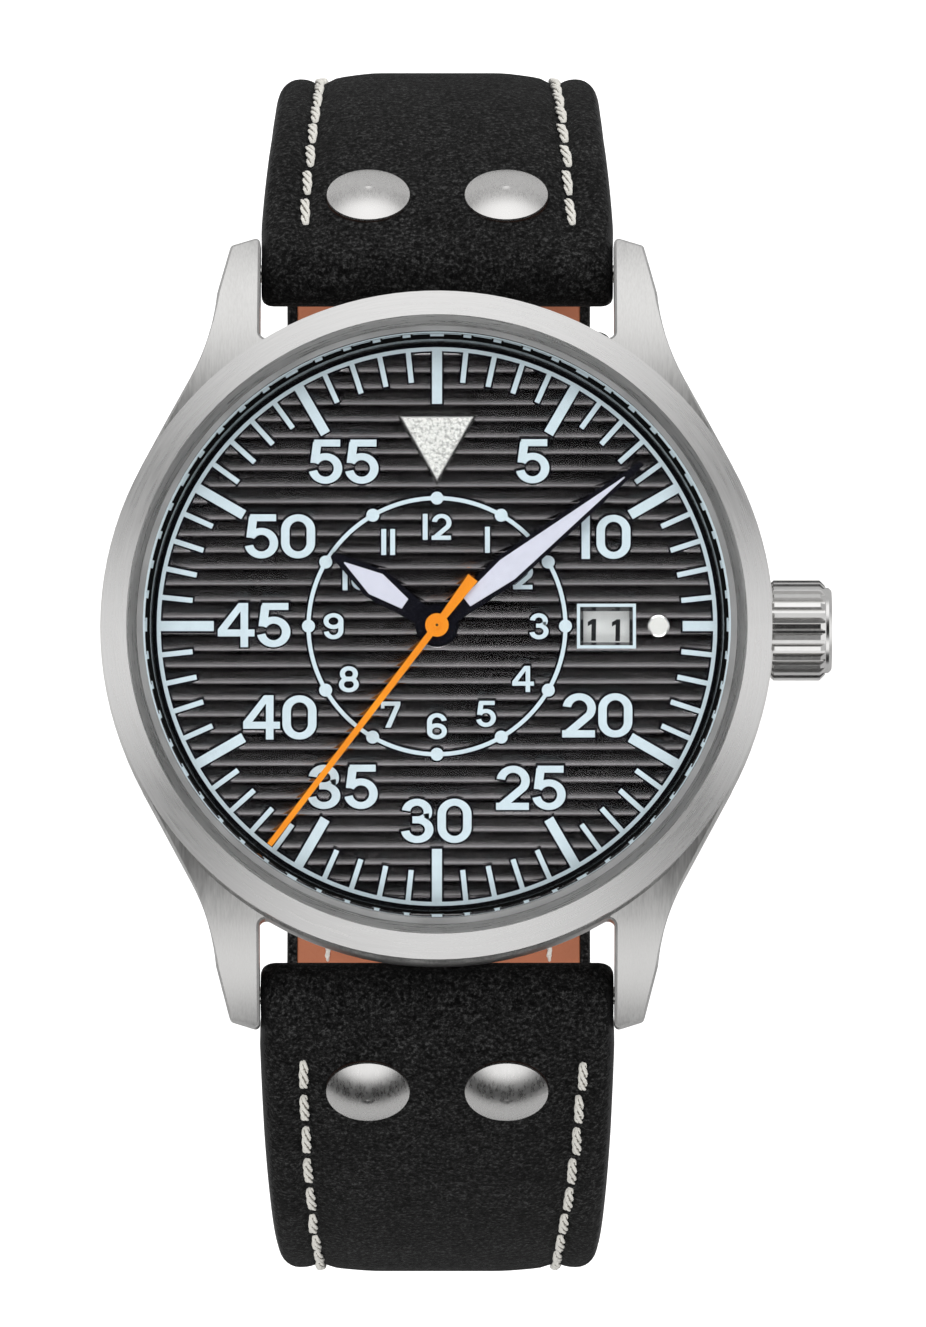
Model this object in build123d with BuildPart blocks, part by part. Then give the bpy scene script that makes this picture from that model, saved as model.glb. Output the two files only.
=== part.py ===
from build123d import *
from math import asin, cos, degrees, hypot, radians, sin, sqrt
import os

os.makedirs("parts", exist_ok=True)

# Pilot watch on a closed leather strap, dial up. The origin is the centre of the case back's
# outer face, +Z comes out of the dial, +Y points to 12 o'clock and +X to the crown.
# Lengths are in millimetres and angles in degrees.

# Clearances
running_gap = 0.05
seat_gap = 0.02
hand_gap = 0.12
leather_gap = 0.3
overrun = 1.0

# Case, from the back up
case_radius = 21.0
case_back_radius = 19.2
case_back_height = 1.0
case_back_bevel = 0.6
case_back_flat_radius = 17.9
case_back_slot_length = 2.4
case_back_slot_width = 1.6
case_back_slot_depth = 0.45
case_back_slots = 6
back_thread_radius = 17.6
back_thread_height = 1.2
back_gasket_radius = 18.6
back_gasket_width = 0.6
back_gasket_height = 0.35
case_bore_radius = 18.3
case_height = 6.0
case_bottom_radius = 19.9
case_edge_chamfer = 0.25
case_belly_height = 1.5
bezel_neck_radius = 19.3
bezel_neck_depth = 0.8

# Bezel, glass and inner flange
bezel_radius = 20.85
bezel_groove = 0.3
bezel_rim_height = 1.8
bezel_face_rise = 0.7
bezel_face_inner_radius = 19.3
bezel_inner_bevel = 0.6
glass_bore_radius = 18.7
glass_gasket_width = 0.42
glass_gasket_height = 1.05
glass_thickness = 1.75
glass_bevel = 0.15
flange_width = 0.6
flange_height = 1.4
flange_lean = 0.25
flange_ledge_drop = 0.15

# Lugs
lug_side_gap = 0.1
lug_tip_length = 2.2
lug_tip_slant = 0.6
lug_corner_round = 0.3
lug_edge_chamfer = 0.15
lug_tip_width = 1.85
lug_leave_angle = 28.5
lug_waist_setback = 5.4
lug_waist_turn = 23.5
lug_flare_radius = 14.0
lug_root_setback = 7.0
lug_root_width = 4.5
lug_root_fillet = 0.45
lug_shoulder_setback = 9.0
lug_tip_top = 2.6
lug_tip_bottom = -0.4
lug_tip_round = 0.5
lug_under_setback = 3.0

# Dial
dial_thickness = 0.4
dial_hole_radius = 1.15
rib_width = 1.025
rib_height = 0.16
rib_field_radius = 17.45
dial_foot_radius = 0.35
dial_foot_distance = 15.0
dial_foot_length = 1.2
dial_foot_angle = 60
marking_height = 0.13
track_radius = 17.5
track_line = 0.3
tick_inner_radius = 15.3
tick_width = 0.31
five_tick_inner_radius = 13.9
five_tick_width = 0.62
hour_circle_radius = 8.0
hour_circle_line = 0.25
hour_dot_radius = 0.4
marker_height = 0.25
triangle_width = 5.0
triangle_length = 4.4
triangle_distance = 13.2
round_marker_radius = 0.66
round_marker_distance = 13.8
date_window_distance = 10.55
date_window_width = 3.29
date_window_height = 2.41
date_opening_width = 2.89
date_opening_height = 1.98
date_bevel_rise = 0.15
date_frame_line = 0.19
date_frame_height = 0.15

# Hands, pointing along +Y before they are turned. The time shown is 10:08:36.
hours_shown = 10
minutes_shown = 8
seconds_shown = 36.2
hand_thickness = 0.15
lume_proud = 0.03
lume_gap = 0.01
hour_hand_length = 7.9
hour_hand_widest_distance = 4.6
hour_hand_half_width = 1.0
hour_hand_root_half_width = 0.5
hour_hub_radius = 1.35
hour_lume_start = 2.4
hour_lume_end = 7.0
minute_hand_length = 16.3
minute_hand_widest_distance = 5.6
minute_hand_half_width = 1.0
minute_hand_root_half_width = 0.52
minute_hub_radius = 1.19
minute_lume_start = 2.35
minute_lume_end = 14.9
hand_tip_half_width = 0.17
lume_widest_half_width = 0.76
lume_start_half_width = 0.37
lume_tip_half_width = 0.03
seconds_hand_length = 17.2
seconds_tail_length = 3.7
seconds_hub_radius = 0.73
seconds_boss_radius = 0.25
seconds_pin_radius = 0.09
seconds_half_width = 0.21
seconds_tip_half_width = 0.17
seconds_tail_half_width = 0.365
seconds_thickness = 0.12

# Motion work and going train
tube_wall = 0.3
seconds_arbor_radius = 0.2
cannon_bore_radius = 0.3
cannon_radius = 0.65
hour_tube_bore_radius = 0.72
hour_tube_radius = 1.0
rotor_arbor_radius = 0.12
addendum_share = 0.95
dedendum_share = 1.15
tooth_tip_share = 0.12
tooth_root_share = 0.33
cannon_teeth = 12
minute_wheel_teeth = 36
cannon_module = 0.15
minute_pinion_teeth = 10
hour_wheel_teeth = 40
hour_wheel_module = 0.144
minute_wheel_angle = 120
minute_post_radius = 0.3
fourth_pinion_teeth = 8
third_wheel_teeth = 60
third_module = 0.1
third_pinion_teeth = 8
centre_wheel_teeth = 64
third_angle = 205
fifth_pinion_teeth = 8
fourth_wheel_teeth = 40
fourth_module = 0.142
fifth_angle = 60
rotor_pinion_teeth = 6
fifth_wheel_teeth = 36
fifth_module = 0.09
rotor_angle = 41
rotor_magnet_radius = 0.6
date_ring_teeth = 31
date_ring_radius = 12.2
date_ring_root_radius = 8.9
date_ring_tip_radius = 8.55
date_ring_thickness = 0.2
date_ring_ledge_radius = 9.1

# Movement frame
movement_radius = 12.8
movement_flange_radius = 13.3
movement_flange_thickness = 0.5
movement_wall = 0.8
plate_top_drop = 0.1
date_recess_depth = 0.4
motion_recess_depth = 0.8
plate_floor = 0.4
cavity_height = 2.4
bridge_thickness = 0.6
bridge_radius = 12.6
pivot_blind_depth = 0.25
boss_radius = 0.9
boss_distance = 10.8
boss_angles = [40, 140, 262, 340]
screw_radius = 0.4
screw_head_radius = 0.75
screw_head_height = 0.3
screw_slot_width = 0.2
screw_grip = 1.1
holder_seat_gap = 0.05
stator_thickness = 0.4
stator_half_length = 6.6
stator_near = 3.3
stator_far = 8.0
stator_core_width = 0.8
stator_rotor_bar = 1.8
stator_end_width = 1.2
stator_post_radius = 0.5
stator_post_x = 6.0
stator_post_y = 4.2
coil_radius = 1.05
coil_length = 9.0
battery_radius = 3.4
battery_height = 2.1
battery_distance = 8.2
battery_angle = 300
battery_step_radius = 2.9
battery_step = 0.3
board_thickness = 0.25
board_left = -6.5
board_right = -0.2
board_near = -5.0
board_far = -9.6
can_radius = 0.7
can_length = 5.2
can_distance = -8.2
stem_block_start = 6.9
stem_block_length = 1.2
stem_block_half_width = 1.1

# Crown and stem
stem_height = 4.0
stem_radius = 0.5
stem_neck_radius = 0.3
stem_neck_start = 9.0
stem_neck_length = 0.6
stem_inner_end = 7.0
crown_pull = 1.0
crown_start = 20.85
crown_seat = 20.7
crown_length = 3.4
crown_radius = 3.15
crown_tooth_depth = 0.3
crown_teeth = 28
crown_tooth_tip_share = 0.2
crown_tooth_root_share = 0.36
crown_end_chamfer = 0.35
crown_cap_radius = 2.68
crown_cap_height = 0.4
crown_cap_round = 0.2
crown_socket_radius = 1.75
crown_socket_depth = 1.95
crown_tube_radius = 1.25
crown_tube_bore = 0.6
crown_tube_start = 17.9
crown_tube_end = 22.5
crown_gasket_start = 21.05
crown_gasket_length = 0.45
lever_pin_radius = 0.22
lever_arm = 2.6
lever_thickness = 0.3
lever_half_width = 0.5
lever_pivot_radius = 0.3

# Spring bars
strap_tuck = 0.35
bar_height = 1.2
bar_tube_radius = 0.75
bar_tube_setback = 1.7
bar_bore_radius = 0.5
tip_pin_radius = 0.55
tip_pin_depth = 0.9
tip_flange_radius = 0.7
tip_flange_width = 0.3
tip_flange_setback = 0.6
tip_plunger_radius = 0.45
tip_plunger_length = 2.5

# Strap loop, as arcs from the 12 o'clock spring bar down to the loop's lowest point
bar_slope = 35.3
shoulder_radius = 24.3
shoulder_turn = 15
side_radius = 44.0
side_turn = 39
corner_radius = 19.6
corner_turn = 67.65
base_turn = 180 - bar_slope - shoulder_turn - side_turn - corner_turn
strap_width = 22.0
strap_waist_taper = 1.6
strap_buckle_taper = 2.0
strap_waist_drop = 27.0
strap_base_drop = 45.0
strap_lug_thickness = 4.1
strap_side_thickness = 3.0
strap_tail_thickness = 2.6
strap_side_distance = 36.0
strap_tail_distance = 60.0
lining_thickness = 1.0
short_strap_length = 80.0
long_strap_tail = 30.0
strap_station_step = 9.0
lining_setback = 2.7
buckle_wrap_radius = 1.6
lane_change_start = 4.0
lane_change_length = 19.0
hole_spacing = 6.5
hole_radius = 0.9
holes_each_way = 3
tail_point_length = 9.0
tail_point_half_width = 3.5
tail_point_bulge_half_width = 8.2
tail_point_bulge_distance = 3.6

# Rivets
short_rivet_distance = 4.9
long_rivet_distance = 5.9
rivet_spread = 4.35
rivet_radius = 2.62
rivet_dome = 0.8
rivet_rim = 0.15
rivet_shank_radius = 1.0
washer_radius = 1.9
washer_thickness = 0.35

# Buckle and keepers
buckle_side_gap = 0.35
buckle_arm_width = 1.85
buckle_distance = 14.5
crossbar_radius = 1.3
buckle_boss_radius = 1.7
tongue_width = 1.7
tongue_thickness = 1.1
tongue_eye_radius = 1.3
tongue_slot_width = 2.5
tongue_rise_distance = 4.4
tongue_level_distance = 8.5
tongue_end_distance = 16.6
tongue_slot_start = 0.2
tongue_slot_end = 8.2
tongue_rest_gap = 0.15
keeper_width = 5.0
keeper_thickness = 1.2
keeper_round = 1.0
fixed_keeper_distance = 7.0
free_keeper_distance = 15.5

# Sizes that follow from those above
split_height = case_back_height + case_height
dial_seat = split_height - bezel_neck_depth
dial_top = dial_seat + dial_thickness
rib_crest = dial_top + rib_height
flange_top = dial_top + flange_height
glass_ledge = flange_top - flange_ledge_drop
bezel_rim = split_height + bezel_rim_height
bezel_top = bezel_rim + bezel_face_rise
dial_radius = case_bore_radius - 2 * running_gap
lug_gap = strap_width + 2 * lug_side_gap
bar_distance = case_radius + strap_lug_thickness / 2 - strap_tuck
lug_distance = bar_distance + lug_tip_length
lug_waist_distance = case_radius - lug_waist_setback
lug_root_distance = case_radius - lug_root_setback
lug_shoulder_distance = case_radius - lug_shoulder_setback
lug_under_distance = case_radius - lug_under_setback
strap_waist_width = strap_width - strap_waist_taper
strap_buckle_width = strap_width - strap_buckle_taper
buckle_inner_width = strap_buckle_width + 2 * buckle_side_gap
marking_top = rib_crest + marking_height
hour_hand_level = rib_crest + marker_height + hand_gap
minute_hand_level = hour_hand_level + hand_thickness + hand_gap
seconds_hand_level = minute_hand_level + hand_thickness + hand_gap
plate_top = dial_seat - plate_top_drop
date_ledge = plate_top - date_recess_depth
motion_floor = plate_top - motion_recess_depth
cavity_top = motion_floor - plate_floor
cavity_bottom = cavity_top - cavity_height
bridge_bottom = cavity_bottom - bridge_thickness
holder_bottom = case_back_height + back_thread_height
arbor_bottom = bridge_bottom + running_gap
arbor_top = cavity_top + pivot_blind_depth - running_gap

# Levels of the wheels inside the cavity, measured up from its bottom
fifth_wheel_level = cavity_bottom + 0.06 * cavity_height
fifth_wheel_thickness = 0.15
fourth_wheel_level = cavity_bottom + 0.19 * cavity_height
wheel_thickness = 0.2
pinion_overlap = 0.1
third_wheel_level = cavity_bottom + 0.42 * cavity_height
centre_wheel_level = cavity_bottom + 0.75 * cavity_height
stator_level = cavity_bottom + 0.375 * cavity_height


def polar(reach, angle, centre=(0, 0)):
    """Point at a reach and an angle from a centre."""
    return (
        centre[0] + reach * cos(radians(angle)),
        centre[1] + reach * sin(radians(angle)),
    )


def tooth_points(teeth, tip, root, phase, tip_share, root_share, centre=(0, 0)):
    """Corners of a toothed outline, with one tooth centred on the phase angle."""
    pitch = 360 / teeth
    points = []
    for tooth in range(teeth):
        middle = phase + tooth * pitch
        points.append(polar(root, middle - root_share * pitch, centre))
        points.append(polar(tip, middle - tip_share * pitch, centre))
        points.append(polar(tip, middle + tip_share * pitch, centre))
        points.append(polar(root, middle + root_share * pitch, centre))
    return points


def gear_points(module, teeth, phase, centre=(0, 0)):
    """Toothed outline of a wheel or pinion of this module."""
    tip = module * (teeth / 2 + addendum_share)
    root = module * (teeth / 2 - dedendum_share)
    return tooth_points(
        teeth, tip, root, phase, tooth_tip_share, tooth_root_share, centre
    )


def gap_phase(teeth, direction):
    """Phase that puts the gap between two teeth on a direction."""
    return direction + 180 / teeth


def gear_distance(module, teeth, other_teeth):
    """Centre distance of two meshing wheels."""
    return module * (teeth + other_teeth) / 2


def hand_plane(level, angle):
    """Plane at a level whose +Y points at a clock angle."""
    return Plane.XY.offset(level).rotated((0, 0, -angle))


def hand_outline(length, widest_reach, half_width, root_half_width):
    """Sword outline of a hand from its hub to its tip."""
    return [
        (root_half_width, 0),
        (half_width, widest_reach),
        (hand_tip_half_width, length),
        (-hand_tip_half_width, length),
        (-half_width, widest_reach),
        (-root_half_width, 0),
    ]


def lume_outline(start, widest_reach, end, inset):
    """Outline of the lume field in a hand, drawn in by an inset."""
    widest = lume_widest_half_width - inset
    root = lume_start_half_width - inset
    tip = lume_tip_half_width
    return [
        (root, start + inset),
        (widest, widest_reach),
        (tip, end - inset),
        (-tip, end - inset),
        (-widest, widest_reach),
        (-root, start + inset),
    ]


seconds_angle = 6 * seconds_shown
minutes_angle = 6 * (minutes_shown + seconds_shown / 60)
hours_angle = 30 * (hours_shown + minutes_angle / 360)

# Case back, screwed in from below, with six key slots
with BuildPart() as case_back:
    with BuildSketch(Plane.XZ) as section:
        with BuildLine():
            Polyline(
                (0, 0),
                (case_back_flat_radius, 0),
                (case_back_radius, case_back_bevel),
                (case_back_radius, case_back_height),
                (back_thread_radius - running_gap, case_back_height),
                (back_thread_radius - running_gap, holder_bottom - running_gap),
                (
                    back_thread_radius - back_thread_height,
                    holder_bottom - running_gap,
                ),
                (back_thread_radius - back_thread_height, case_back_height),
                (0, case_back_height),
                close=True,
            )
        make_face()
    revolve(axis=Axis.Z)
    with BuildSketch(Plane.XY):
        with PolarLocations(
            case_back_radius - case_back_slot_length / 2, case_back_slots
        ):
            Rectangle(case_back_slot_length, case_back_slot_width)
    extrude(amount=case_back_slot_depth, mode=Mode.SUBTRACT)
case_back.part.label = "case_back"
export_step(case_back.part, "parts/case_back.step")

with BuildPart() as case_back_gasket:
    with BuildSketch(Plane.XY.offset(case_back_height)):
        Circle(back_gasket_radius)
        Circle(back_gasket_radius - back_gasket_width, mode=Mode.SUBTRACT)
    extrude(amount=back_gasket_height)
case_back_gasket.part.label = "case_back_gasket"
export_step(case_back_gasket.part, "parts/case_back_gasket.step")

# Four lugs, one drawn and mirrored: a plan outline cut to a curved side profile
flare_start = polar(case_radius, lug_leave_angle)
waist_step = (lug_waist_distance - flare_start[1]) / cos(radians(lug_leave_angle))
lug_inner = lug_gap / 2
with BuildPart() as lugs:
    with BuildSketch(Plane.XY.offset(lug_tip_bottom - overrun)):
        with BuildLine():
            flank = Line(
                flare_start,
                (flare_start[0] - waist_step * sin(radians(lug_leave_angle)), lug_waist_distance),
            )
            flare = JernArc(
                start=flank @ 1,
                tangent=flank % 1,
                radius=lug_flare_radius,
                arc_size=-lug_waist_turn,
            )
            Polyline(
                flare @ 1,
                (lug_inner + lug_tip_width, lug_distance - lug_tip_slant),
                (lug_inner, lug_distance),
                (lug_inner, lug_root_distance),
                (lug_inner + lug_root_width, lug_root_distance - lug_root_width),
                flare_start,
            )
        make_face()
    extrude(amount=split_height - lug_tip_bottom + overrun)
    with BuildSketch(Plane.YZ):
        with BuildLine():
            top_line = Line(
                (lug_root_distance - lug_root_width - overrun, split_height),
                (lug_shoulder_distance, split_height),
            )
            crest = TangentArc(
                top_line @ 1, (lug_distance, lug_tip_top), tangent=top_line % 1
            )
            Line(crest @ 1, (lug_distance, lug_tip_bottom + lug_tip_round))
            foot = Line(
                (lug_distance, lug_tip_bottom + lug_tip_round),
                (lug_distance - lug_tip_round, lug_tip_bottom),
            )
            under = Line(foot @ 1, (lug_under_distance, case_back_height))
            Line(under @ 1, (lug_root_distance - lug_root_width - overrun, case_back_height))
            Line(
                (lug_root_distance - lug_root_width - overrun, case_back_height),
                top_line @ 0,
            )
        make_face()
    extrude(amount=case_radius + overrun, both=True, mode=Mode.INTERSECT)
    mirror(about=Plane.YZ)
    mirror(about=Plane.XZ)

# Mid case: the turned band with its lugs, bores, crown seat and spring bar holes
with BuildPart() as mid_case:
    with BuildSketch(Plane.XZ):
        with BuildLine():
            Polyline(
                (0, case_back_height),
                (case_bottom_radius, case_back_height),
                (case_radius, case_back_height + case_belly_height),
                (case_radius, split_height - case_edge_chamfer),
                (case_radius - case_edge_chamfer, split_height),
                (0, split_height),
                close=True,
            )
        make_face()
    revolve(axis=Axis.Z)
    add(lugs.part)
    root_edges = (
        mid_case.edges()
        .filter_by(Axis.Z)
        .filter_by(lambda edge: abs(abs(edge.center().X) - lug_inner) < seat_gap)
        .filter_by(lambda edge: abs(edge.center().Y) < lug_shoulder_distance + case_radius / 3)
    )
    fillet(root_edges, lug_root_fillet)
    tip_edges = (
        mid_case.edges()
        .filter_by(Axis.Z)
        .filter_by(lambda edge: abs(edge.center().Y) > lug_distance - lug_tip_slant - seat_gap)
    )
    fillet(tip_edges, lug_corner_round)
    crest_edges = (
        mid_case.faces()
        .filter_by(GeomType.CYLINDER)
        .filter_by(lambda face: abs(face.center().X) > lug_inner)
        .filter_by(lambda face: face.center().Z > (lug_tip_top + split_height) / 2)
        .edges()
        .filter_by(lambda edge: max(abs((edge @ 0).Y), abs((edge @ 1).Y)) > case_radius)
    )
    chamfer(crest_edges, lug_edge_chamfer)
    with BuildSketch(Plane.XZ):
        with BuildLine():
            Polyline(
                (0, case_back_height - overrun),
                (back_thread_radius, case_back_height - overrun),
                (back_thread_radius, holder_bottom),
                (case_bore_radius, holder_bottom),
                (case_bore_radius, dial_seat),
                (bezel_neck_radius, dial_seat),
                (bezel_neck_radius, split_height + overrun),
                (0, split_height + overrun),
                close=True,
            )
        make_face()
    revolve(axis=Axis.Z, mode=Mode.SUBTRACT)
    with BuildSketch(Plane.XY.offset(case_back_height)):
        Circle(back_gasket_radius + running_gap)
        Circle(
            back_gasket_radius - back_gasket_width - running_gap, mode=Mode.SUBTRACT
        )
    extrude(amount=back_gasket_height + running_gap, mode=Mode.SUBTRACT)
    with BuildSketch(Plane.YZ.offset(crown_seat)):
        with Locations((0, stem_height)):
            Circle(crown_radius + running_gap)
    extrude(amount=crown_length, mode=Mode.SUBTRACT)
    with BuildSketch(Plane.YZ.offset(crown_tube_start - overrun)):
        with Locations((0, stem_height)):
            Circle(crown_tube_radius)
    extrude(amount=crown_length + overrun, mode=Mode.SUBTRACT)
    with BuildSketch(Plane.YZ):
        with Locations((bar_distance, bar_height), (-bar_distance, bar_height)):
            Circle(tip_pin_radius + running_gap)
    extrude(
        amount=lug_inner + tip_pin_depth + running_gap, both=True, mode=Mode.SUBTRACT
    )
mid_case.part.label = "mid_case"
export_step(mid_case.part, "parts/mid_case.step")

# Bezel: brushed cone outside, steep bevel down to the glass, neck pressed into the case
with BuildPart() as bezel:
    with BuildSketch(Plane.XZ):
        with BuildLine():
            Polyline(
                (case_bore_radius - running_gap, dial_seat + dial_thickness),
                (case_bore_radius - running_gap, glass_ledge),
                (glass_bore_radius, glass_ledge),
                (glass_bore_radius, bezel_top - bezel_inner_bevel),
                (bezel_face_inner_radius, bezel_top),
                (bezel_radius, bezel_rim),
                (bezel_radius, split_height + bezel_groove),
                (bezel_radius - bezel_groove, split_height),
                (bezel_neck_radius - seat_gap, split_height),
                (bezel_neck_radius - seat_gap, dial_seat + dial_thickness),
                close=True,
            )
        make_face()
    revolve(axis=Axis.Z)
bezel.part.label = "bezel"
export_step(bezel.part, "parts/bezel.step")

with BuildPart() as crystal_gasket:
    with BuildSketch(Plane.XY.offset(glass_ledge)):
        Circle(glass_bore_radius - seat_gap)
        Circle(glass_bore_radius - glass_gasket_width, mode=Mode.SUBTRACT)
    extrude(amount=glass_gasket_height)
crystal_gasket.part.label = "crystal_gasket"
export_step(crystal_gasket.part, "parts/crystal_gasket.step")

glass_radius = glass_bore_radius - glass_gasket_width - seat_gap
with BuildPart() as crystal:
    with BuildSketch(Plane.XY.offset(flange_top)):
        Circle(glass_radius)
    extrude(amount=glass_thickness)
    chamfer(crystal.edges().group_by(Axis.Z)[-1], glass_bevel)
crystal.part.label = "crystal"
export_step(crystal.part, "parts/crystal.step")

# Black inner flange between the dial's rim and the glass
flange_radius = case_bore_radius - 2 * running_gap
with BuildPart() as rehaut:
    with BuildSketch(Plane.XZ):
        with BuildLine():
            Polyline(
                (flange_radius - flange_width, dial_top),
                (flange_radius, dial_top),
                (flange_radius, flange_top),
                (flange_radius - flange_width + flange_lean, flange_top),
                close=True,
            )
        make_face()
    revolve(axis=Axis.Z)
rehaut.part.label = "rehaut"
export_step(rehaut.part, "parts/rehaut.step")

# Ribs pressed into the dial: each is level at its edge towards 12, curves down towards 6 and ends
# at the upright step of the next. The row is cut to a round field.
rib_count = int(rib_field_radius / rib_width) + 1
rib_rows_end = (rib_count + 1 / 2) * rib_width
rib_curve = (rib_width**2 + rib_height**2) / (2 * rib_height)
rib_half_angle = degrees(asin(rib_width / rib_curve)) / 2
with BuildPart() as dial_ribs:
    with BuildSketch(Plane.YZ):
        with BuildLine():
            for rib in range(-rib_count, rib_count + 1):
                rib_low = (rib - 1 / 2) * rib_width
                rib_high = rib_low + rib_width
                if rib > -rib_count:
                    Line((rib_low, rib_crest), (rib_low, dial_top))
                ThreePointArc(
                    (rib_low, dial_top),
                    (
                        rib_high - rib_curve * sin(radians(rib_half_angle)),
                        rib_crest - rib_curve * (1 - cos(radians(rib_half_angle))),
                    ),
                    (rib_high, rib_crest),
                )
            Polyline(
                (rib_rows_end, rib_crest),
                (rib_rows_end, dial_seat),
                (-rib_rows_end, dial_seat),
                (-rib_rows_end, dial_top),
            )
        make_face()
    extrude(amount=rib_field_radius + overrun, both=True)
    with BuildSketch(Plane.XY.offset(dial_seat)):
        Circle(rib_field_radius)
    extrude(amount=dial_thickness + rib_height, mode=Mode.INTERSECT)

with BuildPart() as dial:
    with BuildSketch(Plane.XY.offset(dial_seat)):
        Circle(dial_radius)
    extrude(amount=dial_thickness)
    add(dial_ribs.part)
    with BuildSketch(Plane.XY.offset(dial_seat)):
        with PolarLocations(dial_foot_distance, 2, start_angle=dial_foot_angle):
            Circle(dial_foot_radius)
    extrude(amount=-dial_foot_length)
    with BuildSketch(Plane.XY.offset(dial_seat)):
        Circle(dial_hole_radius)
        with Locations((date_window_distance, 0)):
            Rectangle(date_opening_width, date_opening_height)
    extrude(amount=dial_thickness + rib_height, mode=Mode.SUBTRACT)
    with BuildSketch(Plane.XY.offset(dial_seat + date_bevel_rise)):
        with Locations((date_window_distance, 0)):
            Rectangle(date_opening_width, date_opening_height)
    with BuildSketch(Plane.XY.offset(rib_crest)):
        with Locations((date_window_distance, 0)):
            Rectangle(date_window_width, date_window_height)
    loft(mode=Mode.SUBTRACT)
dial.part.label = "dial"
export_step(dial.part, "parts/dial.step")

# Minute track: a ring with sixty ticks, long and wide at each five except at 3
tick_outer = track_radius - track_line / 2
tick_length = tick_outer - tick_inner_radius
five_tick_length = tick_outer - five_tick_inner_radius
with BuildPart() as minute_track:
    with BuildSketch(Plane.XY.offset(rib_crest)):
        Circle(track_radius - running_gap)
        Circle(track_radius - track_line, mode=Mode.SUBTRACT)
        with PolarLocations(tick_outer - tick_length / 2, 60):
            Rectangle(tick_length, tick_width)
        with PolarLocations(
            tick_outer - five_tick_length / 2, 11, start_angle=30, angular_range=330
        ):
            Rectangle(five_tick_length, five_tick_width)
        with Locations((tick_outer - tick_length / 2, 0)):
            Rectangle(tick_length, five_tick_width)
    extrude(amount=marking_height)
minute_track.part.label = "minute_track"
export_step(minute_track.part, "parts/minute_track.step")

with BuildPart() as hour_circle:
    with BuildSketch(Plane.XY.offset(rib_crest)):
        Circle(hour_circle_radius + hour_circle_line / 2)
        Circle(hour_circle_radius - hour_circle_line / 2, mode=Mode.SUBTRACT)
        with PolarLocations(hour_circle_radius, 12):
            Circle(hour_dot_radius)
    extrude(amount=marking_height)
hour_circle.part.label = "hour_circle"
export_step(hour_circle.part, "parts/hour_circle.step")

with BuildPart() as triangle_marker:
    with BuildSketch(Plane.XY.offset(rib_crest)):
        with BuildLine():
            Polyline(
                (-triangle_width / 2, triangle_distance),
                (triangle_width / 2, triangle_distance),
                (0, triangle_distance - triangle_length),
                close=True,
            )
        make_face()
    extrude(amount=marker_height)
triangle_marker.part.label = "triangle_marker"
export_step(triangle_marker.part, "parts/triangle_marker.step")

with BuildPart() as round_marker:
    with BuildSketch(Plane.XY.offset(rib_crest)):
        with Locations((round_marker_distance, 0)):
            Circle(round_marker_radius)
    extrude(amount=marker_height)
    chamfer(round_marker.edges().group_by(Axis.Z)[-1], marker_height / 3)
round_marker.part.label = "round_marker"
export_step(round_marker.part, "parts/round_marker.step")

with BuildPart() as date_frame:
    with BuildSketch(Plane.XY.offset(rib_crest)):
        with Locations((date_window_distance, 0)):
            Rectangle(
                date_window_width + 2 * date_frame_line,
                date_window_height + 2 * date_frame_line,
            )
            Rectangle(date_window_width, date_window_height, mode=Mode.SUBTRACT)
    extrude(amount=date_frame_height)
date_frame.part.label = "date_frame"
export_step(date_frame.part, "parts/date_frame.step")

# Date ring: a flat ring with thirty-one inner teeth, lying in the main plate's recess
with BuildPart() as date_ring:
    with BuildSketch(Plane.XY.offset(date_ledge + running_gap)):
        Circle(date_ring_radius)
        with BuildLine():
            Polyline(
                *tooth_points(
                    date_ring_teeth,
                    date_ring_tip_radius,
                    date_ring_root_radius,
                    0,
                    tooth_tip_share,
                    tooth_root_share / 2,
                ),
                close=True,
            )
        make_face(mode=Mode.SUBTRACT)
    extrude(amount=date_ring_thickness)
date_ring.part.label = "date_ring"
export_step(date_ring.part, "parts/date_ring.step")

# Hands: open sword frames with a lume fill, and a plain stick for the seconds
with BuildPart() as hour_hand:
    with BuildSketch(hand_plane(hour_hand_level, hours_angle)):
        with BuildLine():
            Polyline(
                *hand_outline(
                    hour_hand_length,
                    hour_hand_widest_distance,
                    hour_hand_half_width,
                    hour_hand_root_half_width,
                ),
                close=True,
            )
        make_face()
        Circle(hour_hub_radius)
        Circle(hour_tube_radius + seat_gap, mode=Mode.SUBTRACT)
        with BuildLine():
            Polyline(
                *lume_outline(
                    hour_lume_start, hour_hand_widest_distance, hour_lume_end, 0
                ),
                close=True,
            )
        make_face(mode=Mode.SUBTRACT)
    extrude(amount=hand_thickness)
    with BuildSketch(Plane.XY.offset(hour_hand_level)):
        Circle(hour_hub_radius)
        Circle(hour_tube_radius + seat_gap, mode=Mode.SUBTRACT)
    extrude(amount=-(hour_hand_level - rib_crest - hand_gap))
hour_hand.part.label = "hour_hand"
export_step(hour_hand.part, "parts/hour_hand.step")

with BuildPart() as hour_hand_lume:
    with BuildSketch(hand_plane(hour_hand_level, hours_angle)):
        with BuildLine():
            Polyline(
                *lume_outline(
                    hour_lume_start, hour_hand_widest_distance, hour_lume_end, lume_gap
                ),
                close=True,
            )
        make_face()
    extrude(amount=hand_thickness + lume_proud)
hour_hand_lume.part.label = "hour_hand_lume"
export_step(hour_hand_lume.part, "parts/hour_hand_lume.step")

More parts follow.
